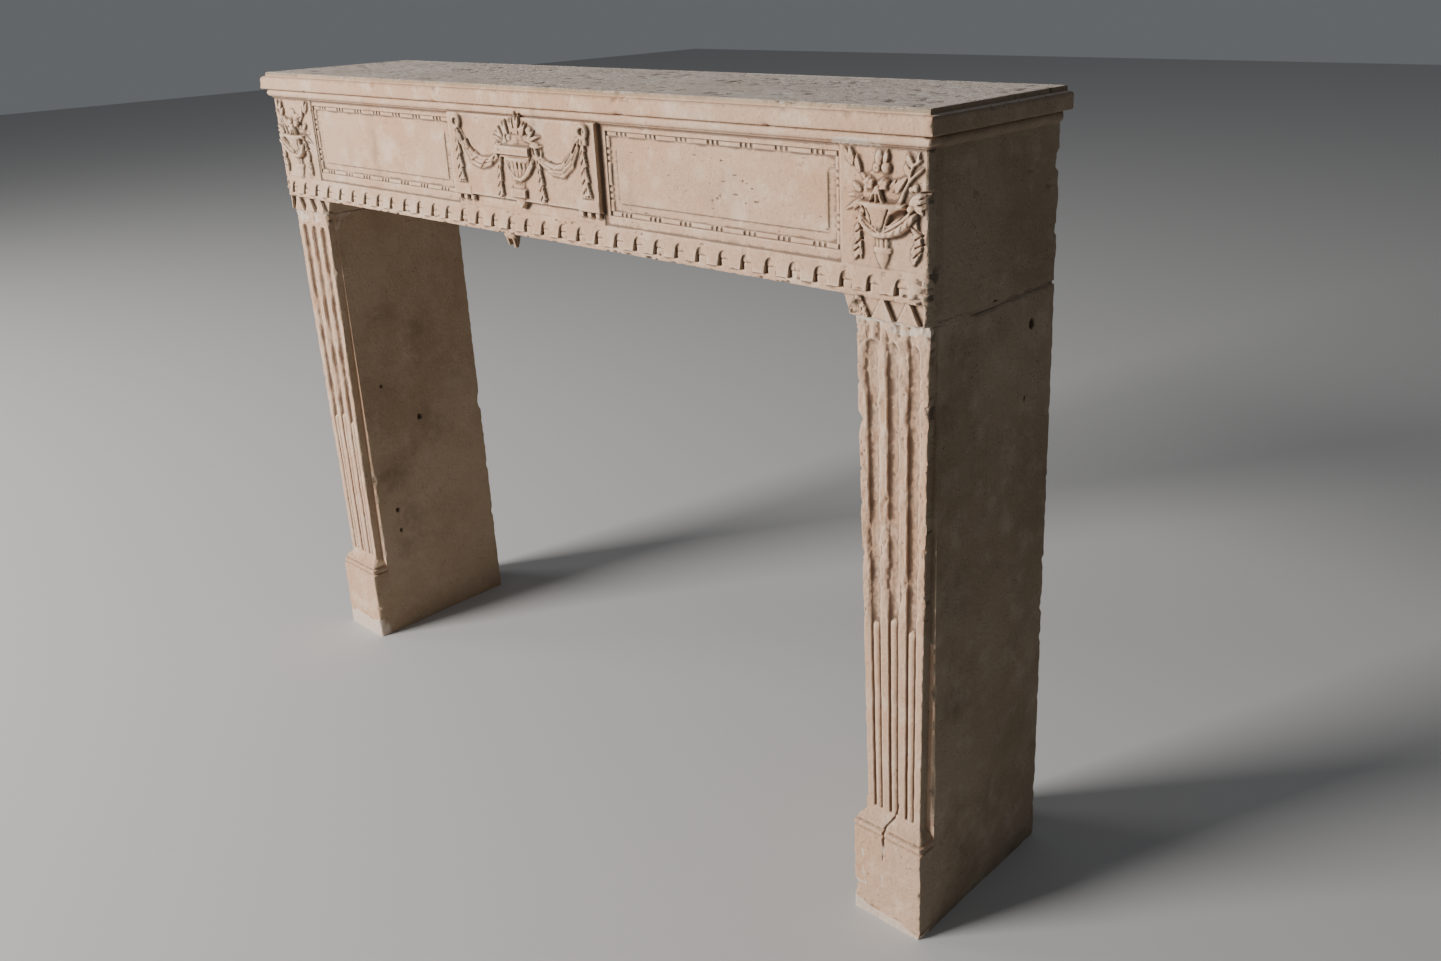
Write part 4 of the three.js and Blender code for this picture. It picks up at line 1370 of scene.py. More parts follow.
        hollows = [
            (((10, -24), (18, -15), (27, -10), (36, -7)), (1.4, 4.2, 4.4, 1.6), 6.5),
            (((3, -29), (9, -16), (14, -6)), (0.8, 1.3, 1.0), 2.6),
            (((-12, -26), (-13, -15), (-17, -7)), (0.7, 1.2, 1.0), 2.2),
        ]
        for path, radii, depth in hollows:
            relief.score(self.line(*path), radii, depth)
        left = self.line((-27, -18), (-22, -26), (-14, -31.5), (-6, -35), (1, -36.5))
        relief.sweep(left, [3.2, 4.8, 5.6, 5.2, 3.6], folded(4.6), 5.4)
        relief.score(self.line((-24, -21), (-14, -29), (-2, -35)), [0.9, 1.1, 0.8], 2.0)
        right = self.line((0, -37), (12, -34), (24, -29), (36, -21), (46, -12))
        relief.sweep(right, [3.4, 4.8, 5.6, 5.2, 3.4], folded(6.0), 4.4)
        upper = self.line((5, -33), (17, -26), (30, -18), (41, -9))
        relief.rod(upper, [1.5, 2.2, 2.4, 2.0], 3.2, 5.6)
        relief.score(self.line((8, -33), (20, -27.5), (33, -19)), [0.8, 1.0, 0.8], 2.4)
        relief.score(self.line((-23, -8), (-21.5, -15)), [3.6, 2.8], 7.0)
        relief.dome(*self.at(-0.5, -36), 4.2, 3.4, 4.2, 6.4, dimple=1.0)
        relief.dome(*self.at(-29, -4), 4.6, 4.2, 6.6, 0)
        relief.dome(*self.at(40, -5), 6.0, 4.6, 7.0, 0)
        bunches = [
            ((-27, -8), (-36.5, -34), 10.0, 5.6, 2), ((-34, -30), (-31.5, -48), 10.5, 5.4, -2),
            ((-33, -44), (-40, -69), 12.5, 5.6, 1), ((-31, -50), (-30, -68), 5.5, 4.6, 0),
            ((44, -16), (49.5, -34), 10.5, 5.6, -2), ((48, -29), (51.5, -47), 11.5, 5.6, -1),
            ((51, -43), (43.5, -67), 13.5, 5.8, -2), ((44, -10), (47, -24), 7.0, 5.0, 0),
        ]
        self.leaves(relief, bunches)
        cuts = [((-38, -22), (-30, -29)), ((-36, -37), (-28, -31)), ((-37, -51), (-29, -44)),
                ((-40, -60), (-32, -54)), ((43, -24), (52, -31)), ((46, -38), (55, -32)),
                ((46, -47), (56, -42)), ((44, -58), (53, -50))]
        for start, end in cuts:
            relief.score(self.line(start, end), [1.0, 1.3], 3.4)


@dataclass
class TabletCarving:
    """Raised tablet in the middle with its urn, rings, swags and tails."""

    ring_x: float = 144.5
    ring_z: float = 1025.0

    def carve(self, relief: Relief) -> None:
        """Cuts the tablet and everything on it.

        Args:
            relief: the front.
        """
        self.plate(relief)
        base = SIZES.tablet_rise
        for side in (-1, 1):
            self.ring(relief, side, base)
        self.swags(relief, base)
        self.urn(relief, base)
        self.flowers(relief, base)

    def plate(self, relief: Relief) -> None:
        """Raised plate with its lower corner tabs and drops.

        Args:
            relief: the front.
        """
        half, low, top = SIZES.tablet_half, SIZES.tablet_bottom, SIZES.tablet_rise
        relief.plate(-half, half, low, SIZES.frieze_top + 2, top, 1.0)
        for side in (-1, 1):
            inner, outer = sorted((side * (half - 46), side * half))
            relief.plate(inner, outer, low - 2, low + 3, top, 1.0)
            relief.plate(inner + 2, outer - 2, low, low + 16, top + 1.0, 0.8)
            for index in range(3):
                middle = side * (half - 43 + index * 17.5)
                relief.plate(middle - 5.2, middle + 5.2, low - 9.5, low - 1, top * 0.8, 1.2)

    def ring(self, relief: Relief, side: int, base: float) -> None:
        """Ring with a strap through it and the hanging tail under it.

        Args:
            relief: the front.
            side: 1 for the right ring, -1 for the left.
            base: level of the tablet.
        """
        x, z = side * self.ring_x + 2.5, self.ring_z
        part, gx, gz = relief.window(x - 13, x + 13, z - 13, z + 13)
        gap = (np.hypot(gx - x, gz - z) - 8.2) / 3.6
        relief.raise_to(part, base + 5.8 * np.sqrt(np.clip(1 - gap * gap, 0, None)), np.abs(gap) < 1)
        relief.rod([(x + 2.5, z + 2), (x + 4, z - 5), (x + 5, z - 14)], [2.6, 3.8, 4.4], 5.4, base)
        relief.rod([(x - 3, z - 6), (x - 4, z - 15)], [2.6, 4.0], 4.6, base)
        path = [(x - 1, z - 11), (x - 2, z - 34), (x - 1, z - 60), (x + 1, z - 89)]
        self.tail(relief, path, [4.5, 7.5, 9.5, 11.0], base)

    def tail(self, relief: Relief, path: Sequence[Point], radii: Sequence[float], base: float) -> None:
        """Hanging cloth whose slanting folds overlap down to the right, with two eyes at its foot.

        Args:
            relief: the front.
            path: its middle line.
            radii: half width at each point.
            base: level of the tablet.
        """

        def cloth(t: np.ndarray, s: np.ndarray, a: np.ndarray) -> np.ndarray:
            """Height over the cloth: flat, with slanting folds at the left and a stepped right edge.

            Args:
                t: share along the path.
                s: distance along the path.
                a: share across it, from -1 to 1.

            Returns:
                The heights.
            """
            step = (s / 21.0 + 0.3) % 1.0
            edge = clamp((a + 0.62 + 0.36 * step) / 0.12)
            fold = (s / 13.0 - 0.7 * a) % 1.0
            crease = bell((a + 0.1 - 0.35 * (step - 0.5)) / 0.13)
            body = 5.0 * (1 - np.abs(a) ** 4) ** 0.5
            return body * (1 - 0.72 * (1 - fold) * clamp(a + 0.55) - 0.3 * crease) * edge

        relief.sweep(path, radii, cloth, base, True)
        (x, z), radius = path[-1], radii[-1]
        relief.pit(x + radius * 0.45, z + 2.5, 2.2, 4.0)
        relief.pit(x - radius * 0.25, z + 2.0, 1.8, 3.0)

    def swags(self, relief: Relief, base: float) -> None:
        """Cloth hung from each ring to the urn.

        Args:
            relief: the front.
            base: level of the tablet.
        """
        left = [(-138, 1013), (-133, 1001), (-124, 985), (-110, 973), (-88, 967.5), (-66, 971), (-50, 981)]
        right = [(136, 1013), (128, 998), (116, 981), (99, 969), (79, 968.5), (63, 975), (52, 982)]

        def cloth(t: np.ndarray, s: np.ndarray, a: np.ndarray) -> np.ndarray:
            """Height over the cloth, with long folds and overlapping twists.

            Args:
                t: share along the path.
                s: distance along the path.
                a: share across it, from -1 to 1.

            Returns:
                The heights.
            """
            folds = 1 - 0.35 * bell((a - 0.15) / 0.16) - 0.25 * bell((a + 0.5) / 0.12)
            twist = (s / 27.0 + 0.45 * a) % 1.0
            return 6.6 * (1 - a * a) ** 0.45 * folds * (0.55 + 0.45 * twist)

        for path, radii in ((left, [4.5, 7, 9, 9.5, 9.0, 6.5, 4.5]), (right, [4.5, 7, 9.5, 10, 8, 6, 4.5])):
            relief.sweep(path, radii, cloth, base)
        cuts = [
            ([(-137, 1014), (-132, 1006), (-128, 999)], 2.6, 4.5),
            ([(-121, 999), (-115, 990), (-107, 984)], 2.2, 3.6), ([(-104, 985), (-94, 979)], 1.5, 2.4),
            ([(122, 1003), (117, 992), (108, 981)], 1.4, 3.0), ([(133, 1008), (126, 996)], 1.6, 3.4),
            ([(72, 980), (84, 977), (96, 979)], 1.1, 2.0),
        ]
        for path, radius, depth in cuts:
            relief.score(path, [radius] * len(path), depth)

    def urn(self, relief: Relief, base: float) -> None:
        """Urn with its broad rim, gadroons, foot block and small swag.

        Args:
            relief: the front.
            base: level of the tablet.
        """
        foot = SIZES.tablet_bottom - 10.5
        outline = [(0, 0.5), (2, 3), (9, 9.5), (13, 10), (16, 10), (16.4, 17.4), (29.5, 17.4), (30, 13),
                   (34, 12.5), (45, 14), (52, 19), (62, 26), (70, 28.8), (73, 29)]
        relief.turned(-4, foot, outline, 0.19, base, 7, 1.5, (34, 70))
        relief.plate(-22, 14, foot + 17, foot + 29, base + 5.6, 1.0)
        relief.plate(-40, 27, foot + 72.5, foot + 76, base + 3.6, 0.9)
        relief.plate(-50, 29, foot + 76, foot + 90, base + 6.4, 1.4)
        for x in (-17, -8, 1, 10, 18):
            relief.hollow(x - 1.3, x + 1.3, foot + 58, foot + 68, base + 1.6, 1.0)
            relief.hollow(x * 0.55 - 1.2, x * 0.55 + 1.2, foot + 34, foot + 45, base + 1.0, 0.9)
        small = [(-28, 976), (-20, 962), (-8, 951.5), (4, 949.5), (14, 955), (24, 965), (33, 976)]
        relief.rod(small, [2.2, 2.4, 2.6, 2.8, 3.2, 3.8, 3.0], 2.8, base + 2.6)
        relief.rod([(12, 951), (24, 960), (34, 972)], [1.2, 2.0, 1.8], 2.6, base + 2.6)
        self.tail(relief, [(-39, 980), (-44, 966), (-47, 944), (-48, 919)], [3.0, 6.5, 8.0, 9.5], base)
        self.tail(relief, [(47, 982), (49, 958), (50, 941), (51, 919)], [4.5, 6.5, 7.5, 9.5], base)
        relief.rod([(24, 1007), (34, 1005), (42, 998), (44.5, 986), (52, 979), (60, 973)],
                   [2.6, 2.8, 3.0, 3.2, 3.6, 3.0], 4.4, base)
        relief.rod([(37, 1004), (48, 1001), (55, 992), (53, 982)], [2.0, 2.3, 2.4, 2.4], 3.4, base)
        relief.rod([(-45, 999), (-52, 992), (-54, 984), (-48, 978)], [2.0, 2.6, 3.0, 2.6], 4.0, base)
        relief.score([(34, 998), (36, 988)], [3.6, 3.0], 4.5)
        relief.score([(51, 996), (50, 987)], [2.6, 2.0], 3.5)

    def flowers(self, relief: Relief, base: float) -> None:
        """Bouquet over the rim, its tips running over the moulding.

        Args:
            relief: the front.
            base: level of the tablet.
        """
        relief.dome(-8, 999, 34, 17, 2.6, base, power=0.5)
        relief.dome(6, 1008, 16, 10, 3.2, base, power=0.5)
        blades = [
            ((-34, 1003), (-56, 1008), 5.0), ((-36, 998), (-54, 995), 6.5), ((-30, 1007), (-52, 1014), 4.5),
            ((-31, 1008), (-41, 1024), 7.5), ((-24, 1010), (-33, 1030), 7.0),
            ((-18, 1012), (-24, 1034), 7.5), ((-10, 1014), (-14, 1036), 6.5), ((-4, 1014), (-5, 1040), 7.0),
            ((2, 1014), (0, 1046), 7.5), ((5, 1012), (11, 1044), 7.0), ((10, 1012), (18, 1033), 7.0),
            ((15, 1010), (26, 1031), 7.0), ((24, 1007), (42, 1022), 7.5), ((28, 1005), (55, 1013), 6.0),
            ((30, 1000), (58, 1000), 5.5), ((-22, 1001), (-25, 1013), 7.0),
        ]
        for index, (stalk, tip, width) in enumerate(blades):
            relief.leaf(stalk, tip, width * 0.86, 6.2, base, 1.4 if index % 2 else -1.4)
        for x, z, radius in ((31, 1020, 6.5), (-2, 1018, 5.5), (12, 1020, 5.0), (-16, 1008, 5.5),
                             (22, 1009, 5.5), (2, 1005, 6.0)):
            relief.dome(x, z, radius, radius * 0.9, 5.4, base, dimple=1.8)


@dataclass
class Lintel:
    """Lintel block with the whole carved front and its dropped ends."""

    seed: int = 23
    fine: float = 1.15
    most_triangles: int = 186000
    canal_pitch: float = 39.5
    canal_half: float = 10.0
    canal_count: int = 35
    reel_pitch: float = 59.0
    bead_length: float = 5.6
    bead_notch: float = 2.8
    bead_radius: float = 3.4
    panel_margin: float = 10.0
    panel_low: float = 913.0
    panel_high: float = 1027.5
    panel_ground: float = -2.0
    panel_floor: float = -5.2
    tooth_rise: float = 6.6

    def __post_init__(self) -> None:
        """Prepares the noise and the carved front."""
        self.noise = Noise(self.seed)
        self.relief = Relief(-716.0, 716.0, SIZES.soffit - 1, SIZES.lintel_top + 1)
        self.ends: dict[int, Relief] = {}

    def bed_profile(self, z: np.ndarray) -> np.ndarray:
        """Reach of the moulding under the shelf at heights z.

        Args:
            z: heights.

        Returns:
            Reach out of the frieze plane.
        """
        rise = SIZES.lintel_top - SIZES.frieze_top
        middle, half = SIZES.frieze_top + rise * 0.58, rise * 0.36
        angles = np.linspace(-math.pi / 2, math.pi / 2, 13)
        heights = [SIZES.frieze_top - 1.0, SIZES.frieze_top, SIZES.frieze_top + 1.6,
                   *(middle + half * np.sin(angles)), SIZES.lintel_top + 1]
        reach = SIZES.bed_reach
        outs = [0.0, 0.0, reach * 0.3, *(reach * (0.45 + 0.55 * np.cos(angles))), reach * 0.45]
        return np.interp(z, heights, outs)

    def ground(self, z: np.ndarray) -> np.ndarray:
        """Plain mouldings of the front at heights z, out of the frieze plane.

        Args:
            z: heights.

        Returns:
            Reach out of the frieze plane.
        """
        t = clamp((SIZES.band_top - z) / (SIZES.band_top - SIZES.band_bottom))
        flare = SIZES.band_lip + (SIZES.band_reach - SIZES.band_lip) * t**1.7
        bevel = SIZES.band_lip * (SIZES.frieze_bottom + 1 - z) / (SIZES.frieze_bottom + 1 - SIZES.band_top)
        out = np.where(z < SIZES.band_bottom, SIZES.fillet_reach, flare)
        out = np.where(z > SIZES.band_top, np.clip(bevel, 0, SIZES.band_lip), out)
        return np.where(z > SIZES.frieze_top - 1, self.bed_profile(z), out)

    def canals(self) -> list[float]:
        """Middle of each arched recess."""
        first = -(self.canal_count - 1) * self.canal_pitch / 2
        return [first + index * self.canal_pitch for index in range(self.canal_count)]

    def cut_canals(self) -> None:
        """Cuts the row of arched recesses with a ledge at the foot of each."""
        relief, noise = self.relief, self.noise
        spring = SIZES.band_top - self.canal_half - 1
        ledge = SIZES.band_bottom + 9
        for x in self.canals():
            middle = x + 0.5 * float(noise.plane(x, 3.0, 17.0, 5))
            part, gx, gz = relief.window(middle - 12, middle + 12, SIZES.band_bottom, SIZES.band_top + 1)
            up = np.clip(gz - spring, 0, None) / (self.canal_half + 0.3)
            arch = np.hypot((gx - middle) / self.canal_half, up)
            wall = clamp((1 - arch) * self.canal_half / 0.9)
            share = (gx - middle) / self.canal_half
            depth = 6.6 - 1.9 * (share + 1)
            depth = np.where(gz < ledge, np.where(share < -0.46, 7.8, 2.6), depth)
            floor = SIZES.band_reach - depth + 0.45 * noise.plane(gx, gz, 4.0, 8)
            old = relief.heights[part]
            relief.heights[part] = np.where(floor < old, old + (floor - old) * wall, old)
            rim = (np.abs(arch - 1.16) < 0.07) & (gz > spring)
            relief.heights[part] -= np.where(rim, 0.35, 0)

    def bead_bars(self, length: float) -> list[Point]:
        """Start and end of the long reels and short beads along an edge.

        Args:
            length: length of the edge.

        Returns:
            The bars in order.
        """
        group = 2 * self.bead_length + 3 * self.bead_notch
        count = max(1, round(length / self.reel_pitch))
        pitch = length / count
        bars, start = [], 0.0
        for index in range(count):
            left = (index + 0.5) * pitch - group / 2
            bars.append((start, left))
            for bead in range(2):
                at = left + self.bead_notch + bead * (self.bead_length + self.bead_notch)
                bars.append((at, at + self.bead_length))
            start = left + group
        bars.append((start, length))
        return bars

    def panel_edges(self, side: int) -> Point:
        """Left and right edge of a sunk panel.

        Args:
            side: 1 for the right panel, -1 for the left.

        Returns:
            The two edges.
        """
        inner = SIZES.tablet_half + self.panel_margin
        outer = SIZES.half_width - SIZES.corner_width
        return (inner, outer) if side > 0 else (-outer, -inner)

    def carve_panel(self, side: int) -> None:
        """Sinks a long panel and lays its bead and reel border.

        Args:
            side: 1 for the right panel, -1 for the left.
        """
        relief = self.relief
        left, right = self.panel_edges(side)
        low, high, r, floor = self.panel_low, self.panel_high, self.bead_radius, self.panel_floor
        zone = (SIZES.tablet_half - 1, SIZES.half_width - SIZES.corner_width + 3)
        xa, xb = zone if side > 0 else (-zone[1], -zone[0])
        relief.hollow(xa, xb, SIZES.frieze_bottom - 0.5, SIZES.frieze_top + 0.5, self.panel_ground, 1.2)
        relief.hollow(left, right, low, high, floor, 0.8)
        margin = 2 * r + 12
        part, gx, gz = relief.window(left + margin, right - margin, low + margin, high - margin)
        reach = np.minimum(np.minimum(gx - left - margin, right - margin - gx), gz - low - margin)
        top = clamp((high - margin - gz) / 9.0)
        relief.raise_to(part, floor + 1.5 * clamp(reach / 0.7) * top, reach > 0)
        bars = [(left + r + a, left + r + b, z - r, z + r, True)
                for z in (low + r, high - r) for a, b in self.bead_bars(right - left - 2 * r)]
        bars += [(x - r, x + r, low + 2 * r + a, low + 2 * r + b, False)
                 for x in (left + r, right - r) for a, b in self.bead_bars(high - low - 4 * r)]
        for xa, xb, za, zb, level in bars:
            part, gx, gz = relief.window(xa, xb, za, zb)
            across = (gz - (za + zb) / 2) / r if level else (gx - (xa + xb) / 2) / r
            ends = np.minimum(gx - xa, xb - gx) if level else np.minimum(gz - za, zb - gz)
            worn = 0.75 + 0.25 * self.noise.plane(gx, gz, 26.0, 11)
            height = floor + 3.1 * worn * (1 - np.clip(across, -1, 1) ** 2) ** 0.4 * clamp(ends / 0.7)
            relief.raise_to(part, height, np.abs(across) < 1)

    def weather_front(self) -> None:
        """Breaks, chips and pits of the front, then the softening."""
        relief, noise = self.relief, self.noise
        gx, gz = relief.xs[None, :], relief.zs[:, None]
        draw = np.random.default_rng(self.seed)
        lost = clamp((gx - 689.5 - 2.0 * noise.plane(gz, gz * 0, 9.0, 2)) / 3.0)
        band = (gz < SIZES.frieze_bottom + 2) & (gz > SIZES.band_bottom - 1)
        facets = np.abs((gx + 0.7 * gz) % 17 - 8.5) * 0.45 + np.abs((0.6 * gx - gz) % 13 - 6.5) * 0.4
        broken = -2.4 + facets + 0.4 * noise.rough(gx, gz, 6.0, 2, 14)
        fall = np.minimum(relief.heights, broken) - relief.heights
        relief.heights = np.where(band, relief.heights + fall * lost, relief.heights)
        fillet = (gz <= SIZES.band_bottom - 1) & (gx > 694)
        relief.heights = np.where(fillet, np.minimum(relief.heights, broken), relief.heights)
        left_lost = clamp((-gx - 690 - 3.0 * noise.plane(gz, gz * 0, 8.0, 4)) / 4.0)
        low = gz < SIZES.frieze_bottom + 6
        fall = np.minimum(relief.heights, broken) - relief.heights
        relief.heights = np.where(low, relief.heights + fall * left_lost, relief.heights)
        arrises = [(SIZES.soffit, 2.2, 3.2, 46), (SIZES.band_bottom + 0.5, 2.2, 2.4, 26),
                   (SIZES.band_top + 1, 4.0, 1.6, 34)]
        for z, reach, deepest, count in arrises:
            for x in draw.uniform(-700, 700, count):
                size = draw.uniform(0.5, 1.0)
                relief.pit(x, z + draw.uniform(-1, 1.5), reach * size * 1.2, deepest * size,
                           draw.uniform(1.0, 2.6))
        dents = [(-58, 868, 6, 2.5, 2.0), (-614, 905, 6, 1.6, 1.5), (236, 905, 5, 1.2, 2.2),
                 (410, 903, 6, 1.4, 2.0)]
        for dent in dents:
            relief.pit(*dent)
        bruise = draw.normal(415, 45, 26), draw.normal(958, 18, 26)
        relief.pock(draw, *bruise, ((0.8, 2.2), (0.8, 2.2), (0.8, 1.8)))
        spots = draw.uniform(-700, 700, 150), draw.uniform(903, 1034, 150)
        relief.pock(draw, *spots, ((0.5, 1.3), (0.5, 1.3), (0.7, 1.8)))
        upper = clamp((gz - SIZES.frieze_bottom) / 10)
        grit = noise.rough(gx, gz, 5.0, 2, 20) * upper
        relief.heights += 0.30 * noise.rough(gx, gz, 34.0, 4, 17) + 0.22 * grit
        relief.settle(0.30, 2.6)

    def columns(self) -> np.ndarray:
        """Grid lines along the frieze, fine where it is carved.

        Returns:
            The lines.
        """
        corner = SIZES.half_width - SIZES.corner_width
        fine, half = self.fine, SIZES.tablet_half
        lines = []
        for side in (-1, 1):
            left, right = self.panel_edges(side)
            r = self.bead_radius
            for a, b in self.bead_bars(right - left - 2 * r):
                lines += [left + r + value for value in (a + 0.15, a + 1.1, b - 1.1, b - 0.15)]
            for value in (left, right, left + 2 * r, right - 2 * r, left + 2 * r + 12, right - 2 * r - 12):
                lines += [value - 0.5, value + 0.5, value + 1.4, value - 1.4]
        for value in (-half, half):
            lines += [value - 0.7, value, value + 0.7]
        stops = [(-SIZES.half_width, fine), (-corner, 7.0), (-half - 1, fine), (half + 1, 7.0),
                 (corner, fine), (SIZES.half_width, 1)]
        return graded(stops, lines)

    def rows(self) -> np.ndarray:
        """Grid lines up the frieze and the moulding over it.

        Returns:
            The lines.
        """
        r, low, high = self.bead_radius, self.panel_low, self.panel_high
        lines = [SIZES.tablet_bottom + d for d in (-4.6, -3.6, -0.6, 0.5)]
        for value in (low, low + 2 * r, high - 2 * r, high):
            lines += [value + d for d in (-0.5, 0.4, 1.2, -1.3)]
        lines += [value + d for value in (low + 2 * r + 12, high - 2 * r - 12) for d in (-0.5, 0.5)]
        return graded([(SIZES.frieze_bottom + 1.5, self.fine), (SIZES.frieze_top, 0.9),
                       (SIZES.lintel_top, 1)], lines)

    def rings(self, xs: np.ndarray, zs: np.ndarray) -> tuple[np.ndarray, np.ndarray]:
        """Rings of points round the block.

        Args:
            xs: grid lines along the front.
            zs: levels.

        Returns:
            The rings by level, place and axis, and a rising measure along a ring.
        """
        noise, back, half = self.noise, SIZES.depth, SIZES.half_width
        depths = graded([(0.0, 0.006), (0.08, 0.02), (1.0, 1)], closest=0.001)[1:]
        rear = np.array([0.98, 0.94, 0.75, 0.5, 0.25, 0.0, -0.25, -0.5, -0.75, -0.94, -0.98, -1.0])
        reach = self.bed_profile(zs)[:, None]
        grow = 1 + np.where(zs[:, None] > SIZES.frieze_top - 1, reach, 0) / half
        z = np.broadcast_to(zs[:, None], (len(zs), len(xs)))
        fx = xs[None, :] * grow
        fy = SIZES.frieze_plane - self.relief.read(self.relief.heights, fx, z)
        parts = [np.stack([fx, fy, z], -1)]
        levels = zs[:, None]
        for sign, share, edge in ((1, depths, fy[:, -1:]), (-1, depths[::-1][1:], fy[:, :1])):
            if sign < 0:
                rear_x = rear[None, :] * half * np.ones_like(levels)
                parts.append(np.stack([rear_x, np.full_like(rear_x, back),
                                       levels * np.ones_like(rear_x)], -1))
            y = edge + (back - edge) * share[None, :]
            rough = 0.9 * noise.rough(y, levels, 60.0, 4, 25 + sign)
            rough = rough + 0.4 * noise.rough(y, levels, 9.0, 3, 30 + sign)
            loss = np.clip(0.6 + rough, 0, 3) * clamp((back - y) / 8)
            for hole_y, hole_z in ((221, 987), (102, 978), (263, 963)):
                gap = ((y - hole_y) / 2.6) ** 2 + ((levels - hole_z) / 2.6) ** 2
                loss = loss + (sign > 0) * 5.0 * np.exp(-gap)
            x = sign * (half * grow - loss)
            parts.append(np.stack([x, y, levels * np.ones_like(x)], -1))
        rings = np.concatenate(parts, 1)
        corner_y = SIZES.frieze_plane - np.where(zs > SIZES.frieze_top - 1, self.bed_profile(zs), 0)
        for sign in (-1, 1):
            loss = wear(noise, rings[..., 2], rings[..., 0] * 0.3, 1.1 + 0.5 * sign,
                        12.0 + 7.0 * sign, 10.0, 33 + sign)
            chip(rings, (sign * half * grow, corner_y[:, None]), (sign, -1), (0, 1), loss)
            loss = wear(noise, rings[..., 2], rings[..., 1] * 0.3, 1.2, 12.0, 26.0, 38 + sign)
            chip(rings, (sign * half, back), (sign, 1), (0, 1), loss)
        arris = (SIZES.frieze_plane - SIZES.fillet_reach, SIZES.soffit)
        chip(rings, arris, (-1, -1), (1, 2), wear(noise, rings[..., 0], rings[..., 1], 0.3, 2.6, 9.0, 42))
        keys = np.concatenate([xs, 1000 + depths, 1002 + np.arange(12) * 0.08,
                               1003 + (1 - depths[::-1][1:])])
        return rings, keys

    def band_columns(self) -> np.ndarray:
        """Grid lines along the band, fine at each recess.

        Returns:
            The lines.
        """
        lines = []
        r = self.canal_half
        for x in self.canals():
            lines += [x + d for d in (-r - 0.6, -r + 0.1, -r + 0.8, -r * 0.46 - 0.3, -r * 0.46 + 0.4,
                                      r - 0.8, r - 0.1, r + 0.6)]
            lines += list(x + np.linspace(-r + 2.0, r - 2.0, 12))
        return graded([(-SIZES.half_width, 4.5), (SIZES.half_width, 1)], lines, 0.4)

    def capital(self, side: int) -> Skin:
        """Dropped end over a jamb, with its row of raised teeth.

        Args:
            side: 1 for the right end, -1 for the left.

        Returns:
            Its closed surface.
        """
        noise = self.noise
        inner, outer = SIZES.jamb_inside - 8, SIZES.half_width - 1.5
        relief = Relief(570.0, 706.0, SIZES.capital_bottom - 1, SIZES.soffit + 4)
        top = SIZES.soffit + 3
        for index in range(3):
            middle = inner + 16.5 + index * 36.5
            part, gx, gz = relief.window(middle - 18, middle + 18, SIZES.capital_bottom - 1, top + 1)
            share = (gz - SIZES.capital_bottom) / (SIZES.soffit - SIZES.capital_bottom)
            half = 16.5 - 13.5 * share
            slope = clamp((half - np.abs(gx - middle)) / 0.6)
            damaged = 1.0 if side < 0 or index else clamp(0.55 + 0.8 * noise.rough(gx, gz, 9.0, 3, 5))
            relief.heights[part] = np.maximum(relief.heights[part], self.tooth_rise * slope * damaged)
        relief.plate(outer - 6, 707, SIZES.capital_bottom - 2, top, 7.0, 1.1)
        relief.heights += 0.35 * noise.rough(relief.xs[None, :], relief.zs[:, None], 9.0, 3, 3 + side)
        relief.settle(0.25, 2.2)
        self.ends[side] = relief
        levels = graded([(SIZES.capital_bottom, 1.0), (SIZES.soffit + 2, 1)])
        share = np.linspace(0, 1, 130)
        cove = np.interp(levels, SIZES.capital_bottom + np.array([0, 10.4, 18.2, 24.2, 26, 30]),
                         np.array([inner, inner - 3.4, inner - 6.1, inner - 9, inner - 13, inner - 13]))
        ys, back = np.linspace(0, 1, 30), SIZES.depth - 0.4
        rings = []
        for x_in, z in zip(cove, levels):
            x = x_in + (outer - x_in) * share
            y = SIZES.shaft_plane - relief.read(relief.heights, x, np.full_like(x, z))
            flank = y[-1] + (back - y[-1]) * ys[1:]
            back_x = np.linspace(outer, x_in, 5)[1:]
            inside = y[0] + (back - y[0]) * ys[::-1][1:-1]
            rough = 0.7 * noise.rough(flank, flank * 0 + z, 20.0, 3, 9)
            ring = np.concatenate([
                np.column_stack([x, y]), np.column_stack([outer - np.clip(0.5 + rough, 0, 2), flank]),
                np.column_stack([back_x, np.full(4, back)]),
                np.column_stack([np.full(len(inside), x_in), inside]),
            ])
            rings.append(np.column_stack([ring, np.full(len(ring), z)]))
        rings = np.array(rings)
        loss = wear(noise, rings[..., 1], rings[..., 2], 1.0, 9.0, 22.0, 46)
        loss = loss * clamp((rings[..., 1] - 70) / 60) - SPARED * (rings[..., 1] < 70)
        low, teeth = SIZES.capital_bottom, SIZES.shaft_plane - self.tooth_rise
        chip(rings, (outer - 0.5, low), (1, -1), (0, 2), loss)
        uprights = [(outer, teeth, 1, 1.3), (cove[:, None], SIZES.shaft_plane, -1, 0.8)]
        for corner_x, corner_y, outward, plain in uprights:
            loss = wear(noise, rings[..., 2], rings[..., 0], plain, 3.0, 9.0, 40)
            chip(rings, (corner_x, corner_y), (outward, -1), (0, 1), loss)
        loss = wear(noise, rings[..., 0], rings[..., 2], 0.5, 2.6, 14.0, 44)
        chip(rings, (teeth, low), (-1, -1), (1, 2), loss)
        rings[..., 0] *= side
        skin = Skin()
        skin.drum(rings)
        return skin

